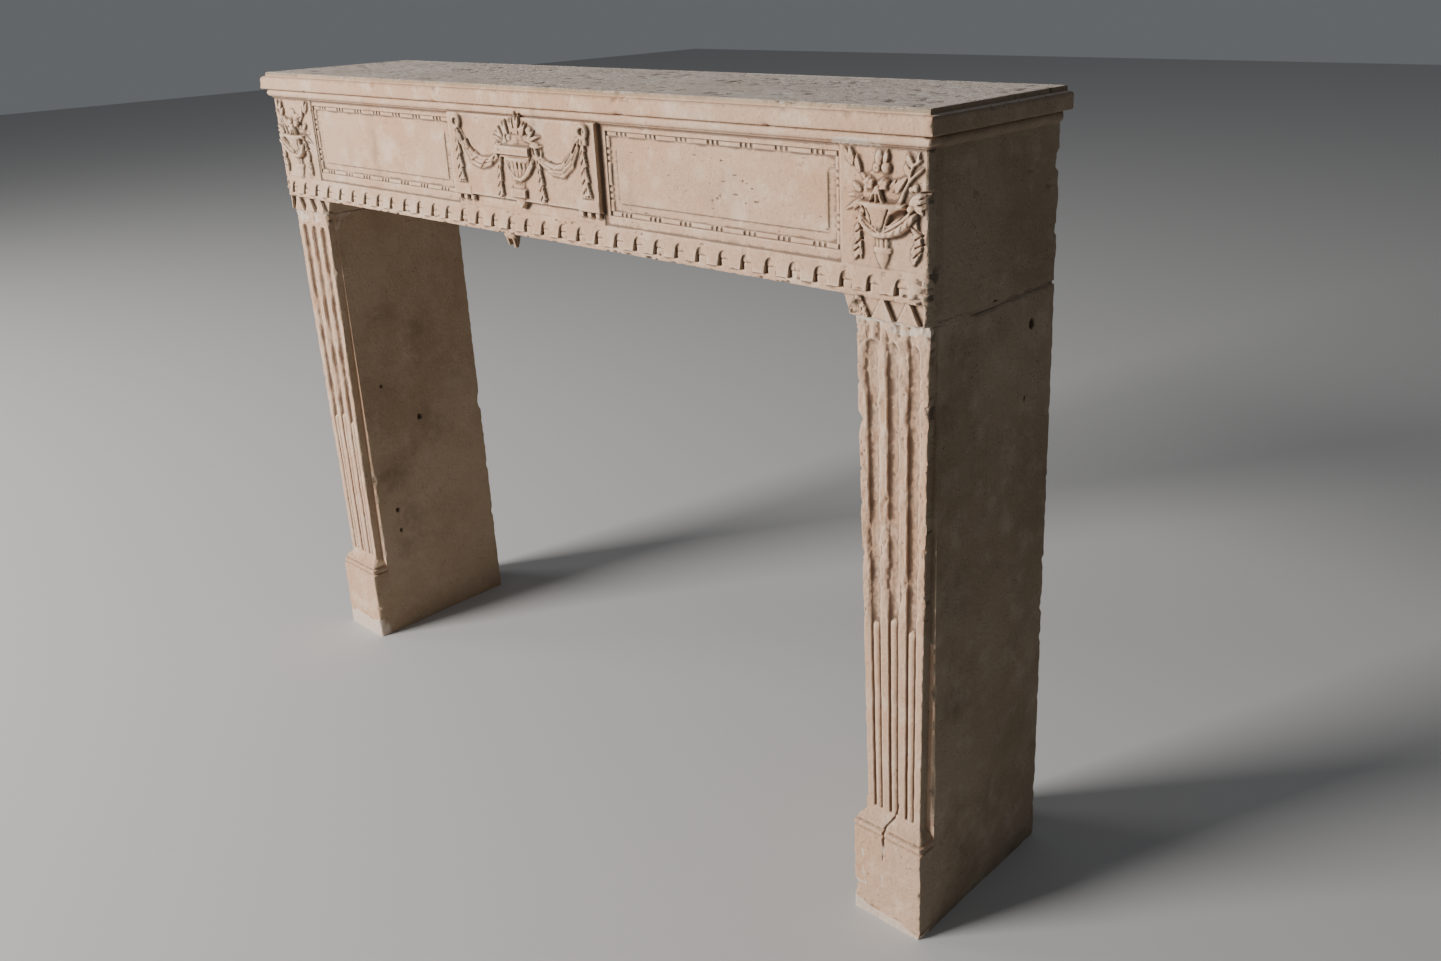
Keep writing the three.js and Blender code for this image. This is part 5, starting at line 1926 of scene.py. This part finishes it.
    def nib(self) -> Skin:
        """Small broken hook of stone left under the lintel.

        Returns:
            Its closed surface.
        """
        skin = Skin()
        blocks = [
            ((-72, 869, -45, 9.0), (-71, 861, -46, 8.5), (-69, 856, -47, 7.0)),
            ((-69, 858, -61, 7.0), (-67, 850, -62, 5.5), (-66, 845, -62, 3.5)),
            ((-55, 858, -47, 7.0), (-53, 850, -48, 5.0), (-53, 842, -49, 3.5)),
        ]
        for block in blocks:
            rings = []
            for x_low, z, x_high, half in block:
                angle = np.linspace(0, 2 * math.pi, 20, endpoint=False)
                lobe = 1 + 0.12 * np.cos(3 * angle + z)
                turn = np.cos(angle)
                x = (x_low + x_high) / 2 + (x_high - x_low) / 2 * np.sign(turn) * np.abs(turn) ** 0.6 * lobe
                y = 19.0 + half * np.sin(angle) * lobe
                rings.append(np.column_stack([x, y, np.full(20, float(z))]))
            skin.drum(np.array(rings))
        return skin

    def build(self) -> bpy.types.Object:
        """Makes the lintel.

        Returns:
            The lintel as one object.
        """
        relief = self.relief
        relief.heights += self.ground(relief.zs)[:, None]
        self.cut_canals()
        for side in (-1, 1):
            self.carve_panel(side)
        TabletCarving().carve(relief)
        middle = SIZES.half_width - SIZES.corner_width / 2 + 1.5
        VaseCarving(middle).carve(relief)
        VaseCarving(-middle, hand=-1, broken_top=True).carve(relief)
        self.weather_front()
        skin = Skin()
        low_levels = graded([(SIZES.soffit, 0.9), (SIZES.frieze_bottom + 0.6, 1)],
                            [SIZES.band_bottom - 0.4, SIZES.band_bottom + 0.4, SIZES.band_bottom + 8.6,
                             SIZES.band_bottom + 9.5])
        low, low_keys = self.rings(self.band_columns(), low_levels)
        high, high_keys = self.rings(self.columns(), self.rows())
        low_ids, high_ids = skin.loops(low), skin.loops(high)
        skin.bridge(low_ids[-1], low_keys, high_ids[0], high_keys)
        skin.cap(low_ids[0])
        skin.cap(high_ids[-1])
        parts = [skin.build("lintel_stone"), self.capital(1).build("end_right"),
                 self.capital(-1).build("end_left"),
                 self.nib().build("nib")]
        with bpy.context.temp_override(active_object=parts[0], selected_editable_objects=parts,
                                       selected_objects=parts):
            bpy.ops.object.join()
        piece = parts[0]
        thin_out(piece, self.most_triangles)
        self.masks(piece)
        soften(piece)
        return piece

    def masks(self, piece: bpy.types.Object) -> None:
        """Marks painted shade in hollows, plaster and stains on the lintel.

        Args:
            piece: the lintel.
        """
        x, y, z = mason_points(piece).T
        noise = self.noise
        front = clamp((22 - y) / 4) * (z > SIZES.soffit - 1)
        # Painted shade from the hollow measure of the front and of the dropped ends.
        painted_shade_and_wear = self.relief.read(self.relief.painted_shade_and_wear, x, z) * front
        for side, relief in self.ends.items():
            below = (z < SIZES.soffit - 1) & (y < 22) & (side * x > 0)
            painted_shade_and_wear = painted_shade_and_wear + below * relief.read(relief.painted_shade_and_wear, np.abs(x), z)
        # Painted shade growing towards the back, on faces set behind the front.
        deep = clamp((y - SIZES.frieze_plane - 4) / 10) * 0.15
        paint(piece, "painted_shade_and_wear", painted_shade_and_wear + deep * (y < 40))
        bed = (np.abs(z - 1041) < 5) & (x > 572) & (x < 643) & (y < 12)
        near_joint = clamp(1 - (z - SIZES.capital_bottom) / 6) * (z < SIZES.soffit) * (y < 60)
        top_break = np.hypot((x - 641) / 12, (z - 1026) / 12) < 1
        blot = clamp(noise.rough(x, z, 60.0, 3, 13) - 0.72) * (y < 20)
        plaster = bed * 0.62 + near_joint * 0.5 + top_break * (y < 6) * 0.5 + blot * 0.8
        paint(piece, "plaster", clamp(plaster))
        smudge = np.exp(-(((x - 12) / 11) ** 2 + ((z - 1008) / 8) ** 2)) * (y < 4)
        run = clamp(noise.rough(x, z * 0.25, 40.0, 3, 19) - 0.45) * 0.5
        paint(piece, "stain", clamp(smudge * 0.9 + run))


@dataclass
class Jamb:
    """Fluted jamb on its plinth, shaped as the right one."""

    side: int
    seed: int
    erosion: float = 1.0
    level_step: float = 2.6
    most_triangles: int = 150000
    reed_tops: tuple[float, float, float] = (283.0, 294.0, 286.0)
    upper_part_from: float = 430.0
    flute_share: float = 0.49
    flute_depth: float = 7.0
    top_inset: float = 2.0
    foot_inset: float = 12.0
    holes: Holes = ()
    inner_holes: Holes = ()

    def __post_init__(self) -> None:
        """Prepares the noise and the carved front."""
        self.noise = Noise(self.seed)
        self.relief = Relief(590.0, 710.0, 0.0, SIZES.jamb_top + 0.5)

    def inset(self, z: np.ndarray) -> np.ndarray:
        """How far the shaft's edges stand in from the block's at heights z."""
        share = (z - SIZES.plinth_top) / (SIZES.jamb_top - SIZES.plinth_top)
        return self.foot_inset + (self.top_inset - self.foot_inset) * share

    def flute(self, index: int, z: np.ndarray) -> tuple[np.ndarray, np.ndarray]:
        """Middle and half width of a flute at heights z.

        Args:
            index: which flute, from the opening.
            z: heights.

        Returns:
            The middle and the half width.
        """
        inset = self.inset(z)
        across = SIZES.jamb_width - 2 * inset
        width = across * self.flute_share / 3
        fillet = (across - 3 * width) / 4
        return SIZES.jamb_inside + inset + fillet + width / 2 + index * (width + fillet), width / 2

    def carve(self) -> None:
        """Cuts the flutes and the reeds in their lower part."""
        relief = self.relief
        gx, gz = relief.xs[None, :], relief.zs[:, None]
        crown, foot = SIZES.jamb_top - 23, SIZES.plinth_top + 6
        for index, reed_top in enumerate(self.reed_tops):
            middle, half = self.flute(index, gz)
            across = (gx - middle) / half
            rise = np.clip((gz - crown + half) / half, 0, None)
            inside = 1 - across**2 - rise**2
            cut = self.flute_depth * np.clip(inside, 0, None) ** 0.42
            cut = np.where(gz > foot, cut, 0) * clamp((gz - foot) / 1.5)
            relief.heights -= cut
            top = SIZES.plinth_top + reed_top
            reed_half = half - 1.7
            tip = np.clip((gz - top + reed_half) / reed_half, 0, None)
            round_part = 1 - ((gx - middle) / reed_half) ** 2 - tip**2
            height = -5.6 + 5.2 * np.clip(round_part, 0, None) ** 0.5
            reed = (round_part > 0) & (gz > foot) & (gz < top)
            relief.heights = np.where(reed, np.maximum(relief.heights, height), relief.heights)

    def weather(self) -> None:
        """Erodes the fillets and pits the face, most of all in its upper half."""
        relief, noise = self.relief, self.noise
        gx, gz = relief.xs[None, :], relief.zs[:, None]
        upper = clamp((gz - self.upper_part_from) / 60) * self.erosion
        plinth = gz < SIZES.plinth_top
        bite = clamp(noise.rough(gx, gz * 0.5, 15.0, 4, 3) + 0.12)
        edge = np.zeros_like(relief.heights)
        for index in range(3):
            middle, half = self.flute(index, gz)
            off = np.abs(np.abs(gx - middle) - half)
            edge = np.maximum(edge, bell(off / 3.2))
        proud = clamp((relief.heights + 5.5) / 5.5)
        eaten = 2.2 * bite * upper + 4.3 * bite * edge * (0.12 + 0.88 * upper)
        relief.heights -= np.where(plinth, 0, proud * eaten)
        lumps = np.where(plinth, 0.42, 0.26 + (0.10 + 0.75 * proud) * upper)
        grit = 0.22 + (0.05 + 0.42 * proud) * upper
        relief.heights += lumps * noise.rough(gx, gz * 0.5, 9.0, 3, 9)
        relief.heights += grit * noise.rough(gx, gz * 0.8, 4.5, 2, 12)
        relief.heights += 0.55 * noise.rough(gx, gz, 45.0, 3, 15)
        draw = np.random.default_rng(self.seed)
        spots = draw.uniform(597, 703, 90), draw.uniform(440, 830, 90)
        relief.pock(draw, *spots, ((0.7, 1.8), (0.4, 1.3), (0.7, 1.5)), self.erosion)
        spots = draw.uniform(597, 703, 60), draw.uniform(10, 440, 60)
        relief.pock(draw, *spots, ((0.6, 1.4), (0.5, 1.2), (0.7, 1.5)))
        self.crack()
        skirt, joint = self.spread(gx, gz)
        holes = clamp(noise.rough(gx, gz, 5.0, 2, 6))
        relief.heights += 1.4 * skirt + 0.9 * joint * clamp(1 + relief.heights / 6) - 1.2 * joint * holes
        relief.settle(0.38, 2.8)

    def spread(self, x: np.ndarray, z: np.ndarray) -> tuple[np.ndarray, np.ndarray]:
        """How far plaster at the foot and mortar at the head cover the face, from 0 to 1.

        Args:
            x: places along the width.
            z: heights of the places.

        Returns:
            The plaster and the mortar.
        """
        noise = self.noise
        left = clamp((SIZES.half_width - x) / SIZES.jamb_width)
        reach = 9 + 11 * left if self.side > 0 else 30 + 6 * left
        reach = reach + 5.0 * noise.rough(x, x * 0, 26.0, 3, 40)
        skirt = clamp((reach - z) / 2.0)
        edge = SIZES.jamb_top - (11 if self.side > 0 else 19) + 7.0 * noise.rough(x, x * 0 + 5, 20.0, 3, 44)
        joint = clamp((z - edge) / 2.5)
        return skirt, joint

    def crack(self) -> None:
        """Cuts the crack from the shaft's foot down into the plinth."""
        if self.side > 0:
            path = [(659, 184), (652, 160), (645, 148), (643.5, 134), (644.5, 118), (643, 96)]
            widths, depths = [1.0, 1.4, 1.6, 1.8, 0.7, 0.5], 4.0
        else:
            path = [(640, 172), (646, 150), (648, 130), (652, 96), (650, 60)]
            widths, depths = [0.7, 0.8, 0.8, 0.6, 0.4], 1.6
        for (xa, za), (xb, zb), width in zip(path[:-1], path[1:], widths):
            for t in np.linspace(0, 1, 16, endpoint=False):
                self.relief.pit(xa + (xb - xa) * t, za + (zb - za) * t, width + 0.5, depths * 0.35)

    def plinth(self, z: np.ndarray) -> tuple[np.ndarray, np.ndarray]:
        """Reach of the plinth's mouldings at heights z.

        Args:
            z: heights.

        Returns:
            How far the face stands out of the shaft's plane, and the inset of its sides.
        """
        full, lip, top = SIZES.shaft_plane, SIZES.plinth_block, SIZES.plinth_top
        astragal = lip + 14
        heights = [0, lip - 2.2, lip - 0.8, lip + 0.4, lip + 1.6, lip + 3.2, lip + 6.4,
                   astragal - 4.2, astragal - 3.0, astragal - 1.8, astragal - 0.4, astragal + 1.6,
                   astragal + 5.4, astragal + 9.6, top]
        outs = [full, full, full - 0.8, full - 4.2, full - 4.6, full - 1.0, full - 0.2, full - 1.0,
                full - 5.2, full - 5.6, full - 2.6, full - 4.6, full * 0.40, full * 0.12, 0]
        out = np.interp(z, heights, outs)
        return out, self.foot_inset * (1 - out / full)

    def build(self) -> bpy.types.Object:
        """Makes the jamb.

        Returns:
            The jamb, mirrored for the left side.
        """
        self.carve()
        self.weather()
        levels = graded([(0.0, 3.5), (128.0, 0.9), (168.0, self.level_step), (SIZES.jamb_top, 1)])
        z = levels[:, None]
        on_plinth = z < SIZES.plinth_top
        out, plinth_inset = self.plinth(z)
        inset = np.where(on_plinth, plinth_inset, self.inset(z))
        inside, outside = SIZES.jamb_inside, SIZES.half_width
        xl, xr = inside + inset, outside - inset
        plane = SIZES.shaft_plane - np.where(on_plinth, out, 0)
        share = np.linspace(0, 1, 96)[None, :]
        front_x = xl + (xr - xl) * share
        zz = np.broadcast_to(z, front_x.shape)
        front_y = plane - self.relief.read(self.relief.heights, front_x, zz)
        rebate = SIZES.rebate_plane
        short, deep = np.linspace(0, 1, 4)[None, :], np.linspace(0, 1, 6)[None, :]

        def strip(x: np.ndarray, y: np.ndarray) -> np.ndarray:
            """Stacks one stretch of every ring."""
            return np.stack(np.broadcast_arrays(x, y, z), -1)

        flank = self.flank_lines(self.holes)
        inner = self.flank_lines(self.inner_holes)
        rough_out = self.flank_wear(flank[1:], z, 20, self.holes)
        rough_in = self.flank_wear(inner[:-1], z, 33, self.inner_holes)
        left_y, right_y = front_y[:, :1], front_y[:, -1:]
        parts = [
            strip(inside + (xl - inside) * short[:, :-1], rebate),
            strip(xl, rebate + (left_y - rebate) * deep[:, :-1]),
            strip(front_x, front_y),
            strip(xr, right_y + (rebate - right_y) * deep[:, 1:]),
            strip(xr + (outside - xr) * short[:, 1:], rebate),
            strip(outside - rough_out, flank[None, 1:]),
            strip(outside + (inside - outside) * deep[:, 1:-1], SIZES.depth),
            strip(inside + rough_in[:, ::-1], inner[None, :0:-1]),
        ]
        rings = np.concatenate(parts, 1)
        self.arrises(rings, plane, xl, xr, z)
        rings[..., 0] *= self.side
        skin = Skin()
        skin.drum(rings)
        name = "right" if self.side > 0 else "left"
        piece = skin.build(name + "_jamb_stone", 0.05)
        thin_out(piece, self.most_triangles)
        self.masks(piece)
        soften(piece, 48.0)
        return piece

    def flank_lines(self, holes: Holes) -> np.ndarray:
        """Grid lines of a side from the rebate to the back, fine at the holes.

        Args:
            holes: depth, height and radius of each hole.

        Returns:
            The lines.
        """
        lines = []
        for y, _, radius in holes:
            lines += list(y + np.linspace(-1.5, 1.5, 13) * radius)
        return graded([(SIZES.rebate_plane, 2.0), (44.0, 6.0), (SIZES.depth, 1)], lines, 0.8)

    def flank_wear(self, ys: np.ndarray, z: np.ndarray, layer: int, holes: Holes) -> np.ndarray:
        """Loss of a side face with its holes.

        Args:
            ys: depths of the grid lines.
            z: levels.
            layer: which pattern to read.
            holes: depth, height and radius of each hole.

        Returns:
            Loss in millimetres by level and line.
        """
        y = ys[None, :]
        rough = 0.9 * self.noise.rough(y, z, 70.0, 4, layer)
        rough = rough + 0.35 * self.noise.rough(y, z, 11.0, 3, layer + 3)
        loss = np.clip(0.7 + rough, 0, 3) * clamp((SIZES.depth - y) / 8)
        for hole_y, hole_z, radius in holes:
            spread = ((y - hole_y) / radius) ** 2 + ((z - hole_z) / radius) ** 2
            loss = loss + radius * 1.7 * np.clip(1 - spread, 0, None) ** 0.5
        return loss

    def arrises(self, rings: np.ndarray, plane: np.ndarray, xl: np.ndarray, xr: np.ndarray,
                z: np.ndarray) -> None:
        """Wears the upright arrises, in place.

        Args:
            rings: points by level, place in the ring and axis.
            plane: depth of the face by level.
            xl: left edge of the face by level.
            xr: right edge of the face by level.
            z: levels.
        """
        noise = self.noise
        back, rebate = SIZES.depth, SIZES.rebate_plane
        inside, outside = SIZES.jamb_inside, SIZES.half_width
        shaft = np.where(z > SIZES.plinth_top + 4, 0.0, SPARED)
        upper = z - self.upper_part_from
        chips = 3.6 * (1.0 + 1.6 * self.erosion * clamp(upper / 100) + 0.9 * (z < SIZES.plinth_top))
        uprights = [
            (xl, plane, (-1, -1), 0.9, chips, 14.0, 1, False),
            (xr, plane, (1, -1), 0.9, chips, 14.0, 5, False),
            (inside, rebate, (-1, -1), 0.9, 6.0, 40.0, 9, True),
            (outside, rebate, (1, -1), 0.9, 6.0, 40.0, 13, True),
            (outside, back, (1, 1), 1.0, 9.0, 30.0, 17, False),
            (inside, back, (-1, 1), 1.0, 6.0, 34.0, 21, False),
        ]
        depth = rings[..., 1].copy()
        ragged = 2.0 + 3.5 * np.abs(noise.rough(depth, np.zeros_like(depth), 7.0, 2, 35))
        loss = wear(noise, depth, rings[..., 2], 1.0, 12.0, 20.0, 29) * clamp((depth - 90) / 40)
        loss = loss + bell((depth - 128) / 30) * ragged - SPARED * (depth < 84)
        chip(rings, (outside - 0.5, SIZES.jamb_top), (1, 1), (0, 2), loss)
        for x, y, outward, plain, most, cell, layer, rebated in uprights:
            loss = wear(noise, rings[..., 2], rings[..., 1] * 0.3, plain, most, cell, layer)
            if rebated:
                loss = loss - shaft - SPARED * (rings[..., 1] < rebate - 0.1)
                loss = loss - 2.6 * clamp(upper / 60) + 1.2 * clamp(-upper / 60)
            chip(rings, (x, y), outward, (0, 1), loss)

    def masks(self, piece: bpy.types.Object) -> None:
        """Marks painted shade in hollows, creases and holes, mortar, plaster and stains on the jamb.

        Args:
            piece: the jamb.
        """
        points = mason_points(piece)
        x, y, z = points[:, 0] * self.side, points[:, 1], points[:, 2]
        noise = self.noise
        # Painted shade from the hollow measure of the fluted face.
        painted_shade_and_wear = self.relief.read(self.relief.painted_shade_and_wear, x, z) * (y < SIZES.rebate_plane - 3)
        # Painted shade along the creases of the plinth mouldings.
        for level in (SIZES.plinth_block + 0.9, SIZES.plinth_block + 11.4):
            painted_shade_and_wear = painted_shade_and_wear + 0.3 * bell((z - level) / 1.3) * (y < SIZES.rebate_plane)
        # Painted shade filling the holes in the sides.
        for face, holes in ((x > SIZES.half_width - 20, self.holes),
                            (x < SIZES.jamb_inside + 20, self.inner_holes)):
            for hole_y, hole_z, radius in holes:
                painted_shade_and_wear = painted_shade_and_wear + face * (np.hypot(y - hole_y, z - hole_z) < radius)
        paint(piece, "painted_shade_and_wear", painted_shade_and_wear)
        skirt, joint = self.spread(x, z)
        patch = 0.75 + 0.3 * noise.plane(x, z, 15.0, 3)
        front = y < SIZES.shaft_plane + 6
        joint = joint * patch * 0.75 * front
        skirt = skirt * 0.85 * front
        streaks = np.zeros_like(x)
        for line in self.streaks():
            for (xa, za), (xb, zb) in zip(line[:-1], line[1:]):
                run = np.array([xb - xa, zb - za])
                t = clamp(((x - xa) * run[0] + (z - za) * run[1]) / (run @ run))
                gap = np.hypot(x - xa - t * run[0], z - za - t * run[1])
                gap = gap + 0.8 * noise.plane(x, z, 9.0, 8)
                streaks = np.maximum(streaks, bell(gap / 1.7) * (0.8 + 0.3 * noise.plane(x, z, 7.0, 9)))
        ragged = 14 * noise.rough(y, z, 22.0, 3, 31)
        outer = 0.42 * clamp((z - SIZES.jamb_top + 9 + ragged * 0.5) / 5)
        outer = (x > SIZES.half_width - 6) * outer * (y < 100)
        near = clamp(1.2 - (SIZES.jamb_top - z) / 52 - (y - 16) / 62 + ragged / 40)
        inner = (self.side < 0) * (x < SIZES.jamb_inside + 16) * (y > 24) * 0.55 * clamp(near * 3)
        paint(piece, "plaster", clamp(joint + skirt + 1.1 * streaks * (y < 6) + outer + inner))
        paint(piece, "stain", clamp(noise.rough(y, z, 80.0, 3, 27) - 0.2) * 0.5 * (y > 30))

    def streaks(self) -> list[list[Point]]:
        """Pale lines of old filler on the plinth."""
        if self.side < 0:
            return [[(651, 96), (650, 40)]]
        return [[(643, 118), (644, 92)], [(609, 100), (609.5, 88)], [(610, 78), (611, 62), (615, 45)],
                [(642, 70), (642, 56)], [(591, 43), (600, 44.5), (636, 43.5)]]


@dataclass
class Mortar:
    """Mortar in the two bed joints."""

    seed: int = 91
    levels: int = 7
    columns: int = 60
    rows: int = 90
    flush_to: float = 96.0
    ragged: float = 1.6

    def __post_init__(self) -> None:
        """Prepares the noise."""
        self.noise = Noise(self.seed)

    def pad(self, name: str, side: int) -> bpy.types.Object:
        """Ragged slab between a jamb and the lintel.

        Args:
            name: name of the piece.
            side: 1 for the right jamb, -1 for the left.

        Returns:
            The piece.
        """
        low, high = SIZES.jamb_top - 1.2, SIZES.capital_bottom + 1.2
        x0, x1 = SIZES.jamb_inside + 2.0, SIZES.half_width - 2.6
        y0, y1 = SIZES.shaft_plane + 0.6, SIZES.depth - 2
        rings = []
        for level in np.linspace(low, high, self.levels):
            ring = rectangle((x0, y0), (x1, y1), self.columns, self.rows)
            z = np.full(len(ring), level)
            push = self.ragged * self.noise.rough(ring[:, 0] + ring[:, 1], z, 14.0, 3, 4 + side)
            away = (ring - np.array([x0 + x1, y0 + y1]) / 2) / (np.array([x1 - x0, y1 - y0]) / 2)
            away = np.where(np.abs(away) > 0.97, np.sign(away), 0)
            ring = ring - away * np.abs(push)[:, None]
            flush = self.flush_to + 10 * self.noise.plane(z, z * 0, 9.0, 2)
            filled = clamp((flush - ring[:, 1]) / 8) * (ring[:, 0] > x1 - 3)
            ring[:, 0] += 1.9 * filled * (ring[:, 1] > 34) * (side > 0)
            rings.append(np.column_stack([ring, z]))
        rings = np.array(rings)
        rings[..., 0] *= side
        skin = Skin()
        skin.drum(rings)
        piece = skin.build(name)
        for mask in ("painted_shade_and_wear", "plaster", "stain"):
            paint(piece, mask, np.zeros(len(piece.data.vertices)))
        soften(piece, 60.0)
        return piece

    def build(self) -> list[bpy.types.Object]:
        """Makes both joints."""
        return [self.pad("joint_mortar_right", 1), self.pad("joint_mortar_left", -1)]


RIGHT_JAMB = Jamb(1, 41, 1.0, holes=((233, 795, 6.5), (221, 700, 2.5)), inner_holes=((150, 380, 3.0),))
LEFT_JAMB = Jamb(-1, 57, 0.45, holes=((200, 610, 3.0),),
                 inner_holes=((70, 249, 4.5), (72, 205, 3.6), (145, 421, 5.5), (73, 502, 3.4)))


def main() -> None:
    """Builds every piece in order."""
    logging.basicConfig(level=logging.INFO, format="%(name)s %(message)s")
    Studio().build()
    dressing = Dressing()
    shelf = Shelf().build()
    dressing.stone(shelf, "shelf_slab", side_from=3.0, rim=0.0)
    LOG.info("made %s", shelf.name)
    lintel = Lintel().build()
    dressing.stone(lintel, "carved_lintel", side_from=18.0, rim=2.5, painted_lee_shade=True)
    LOG.info("made %s", lintel.name)
    for jamb, node in ((RIGHT_JAMB, "right_jamb"), (LEFT_JAMB, "left_jamb")):
        piece = jamb.build()
        dressing.stone(piece, node, side_from=31.0, rim=13.5)
        LOG.info("made %s", piece.name)
    for piece in Mortar().build():
        dressing.mortar_work(piece)
        LOG.info("made %s", piece.name)


if __name__ == "__main__":
    main()
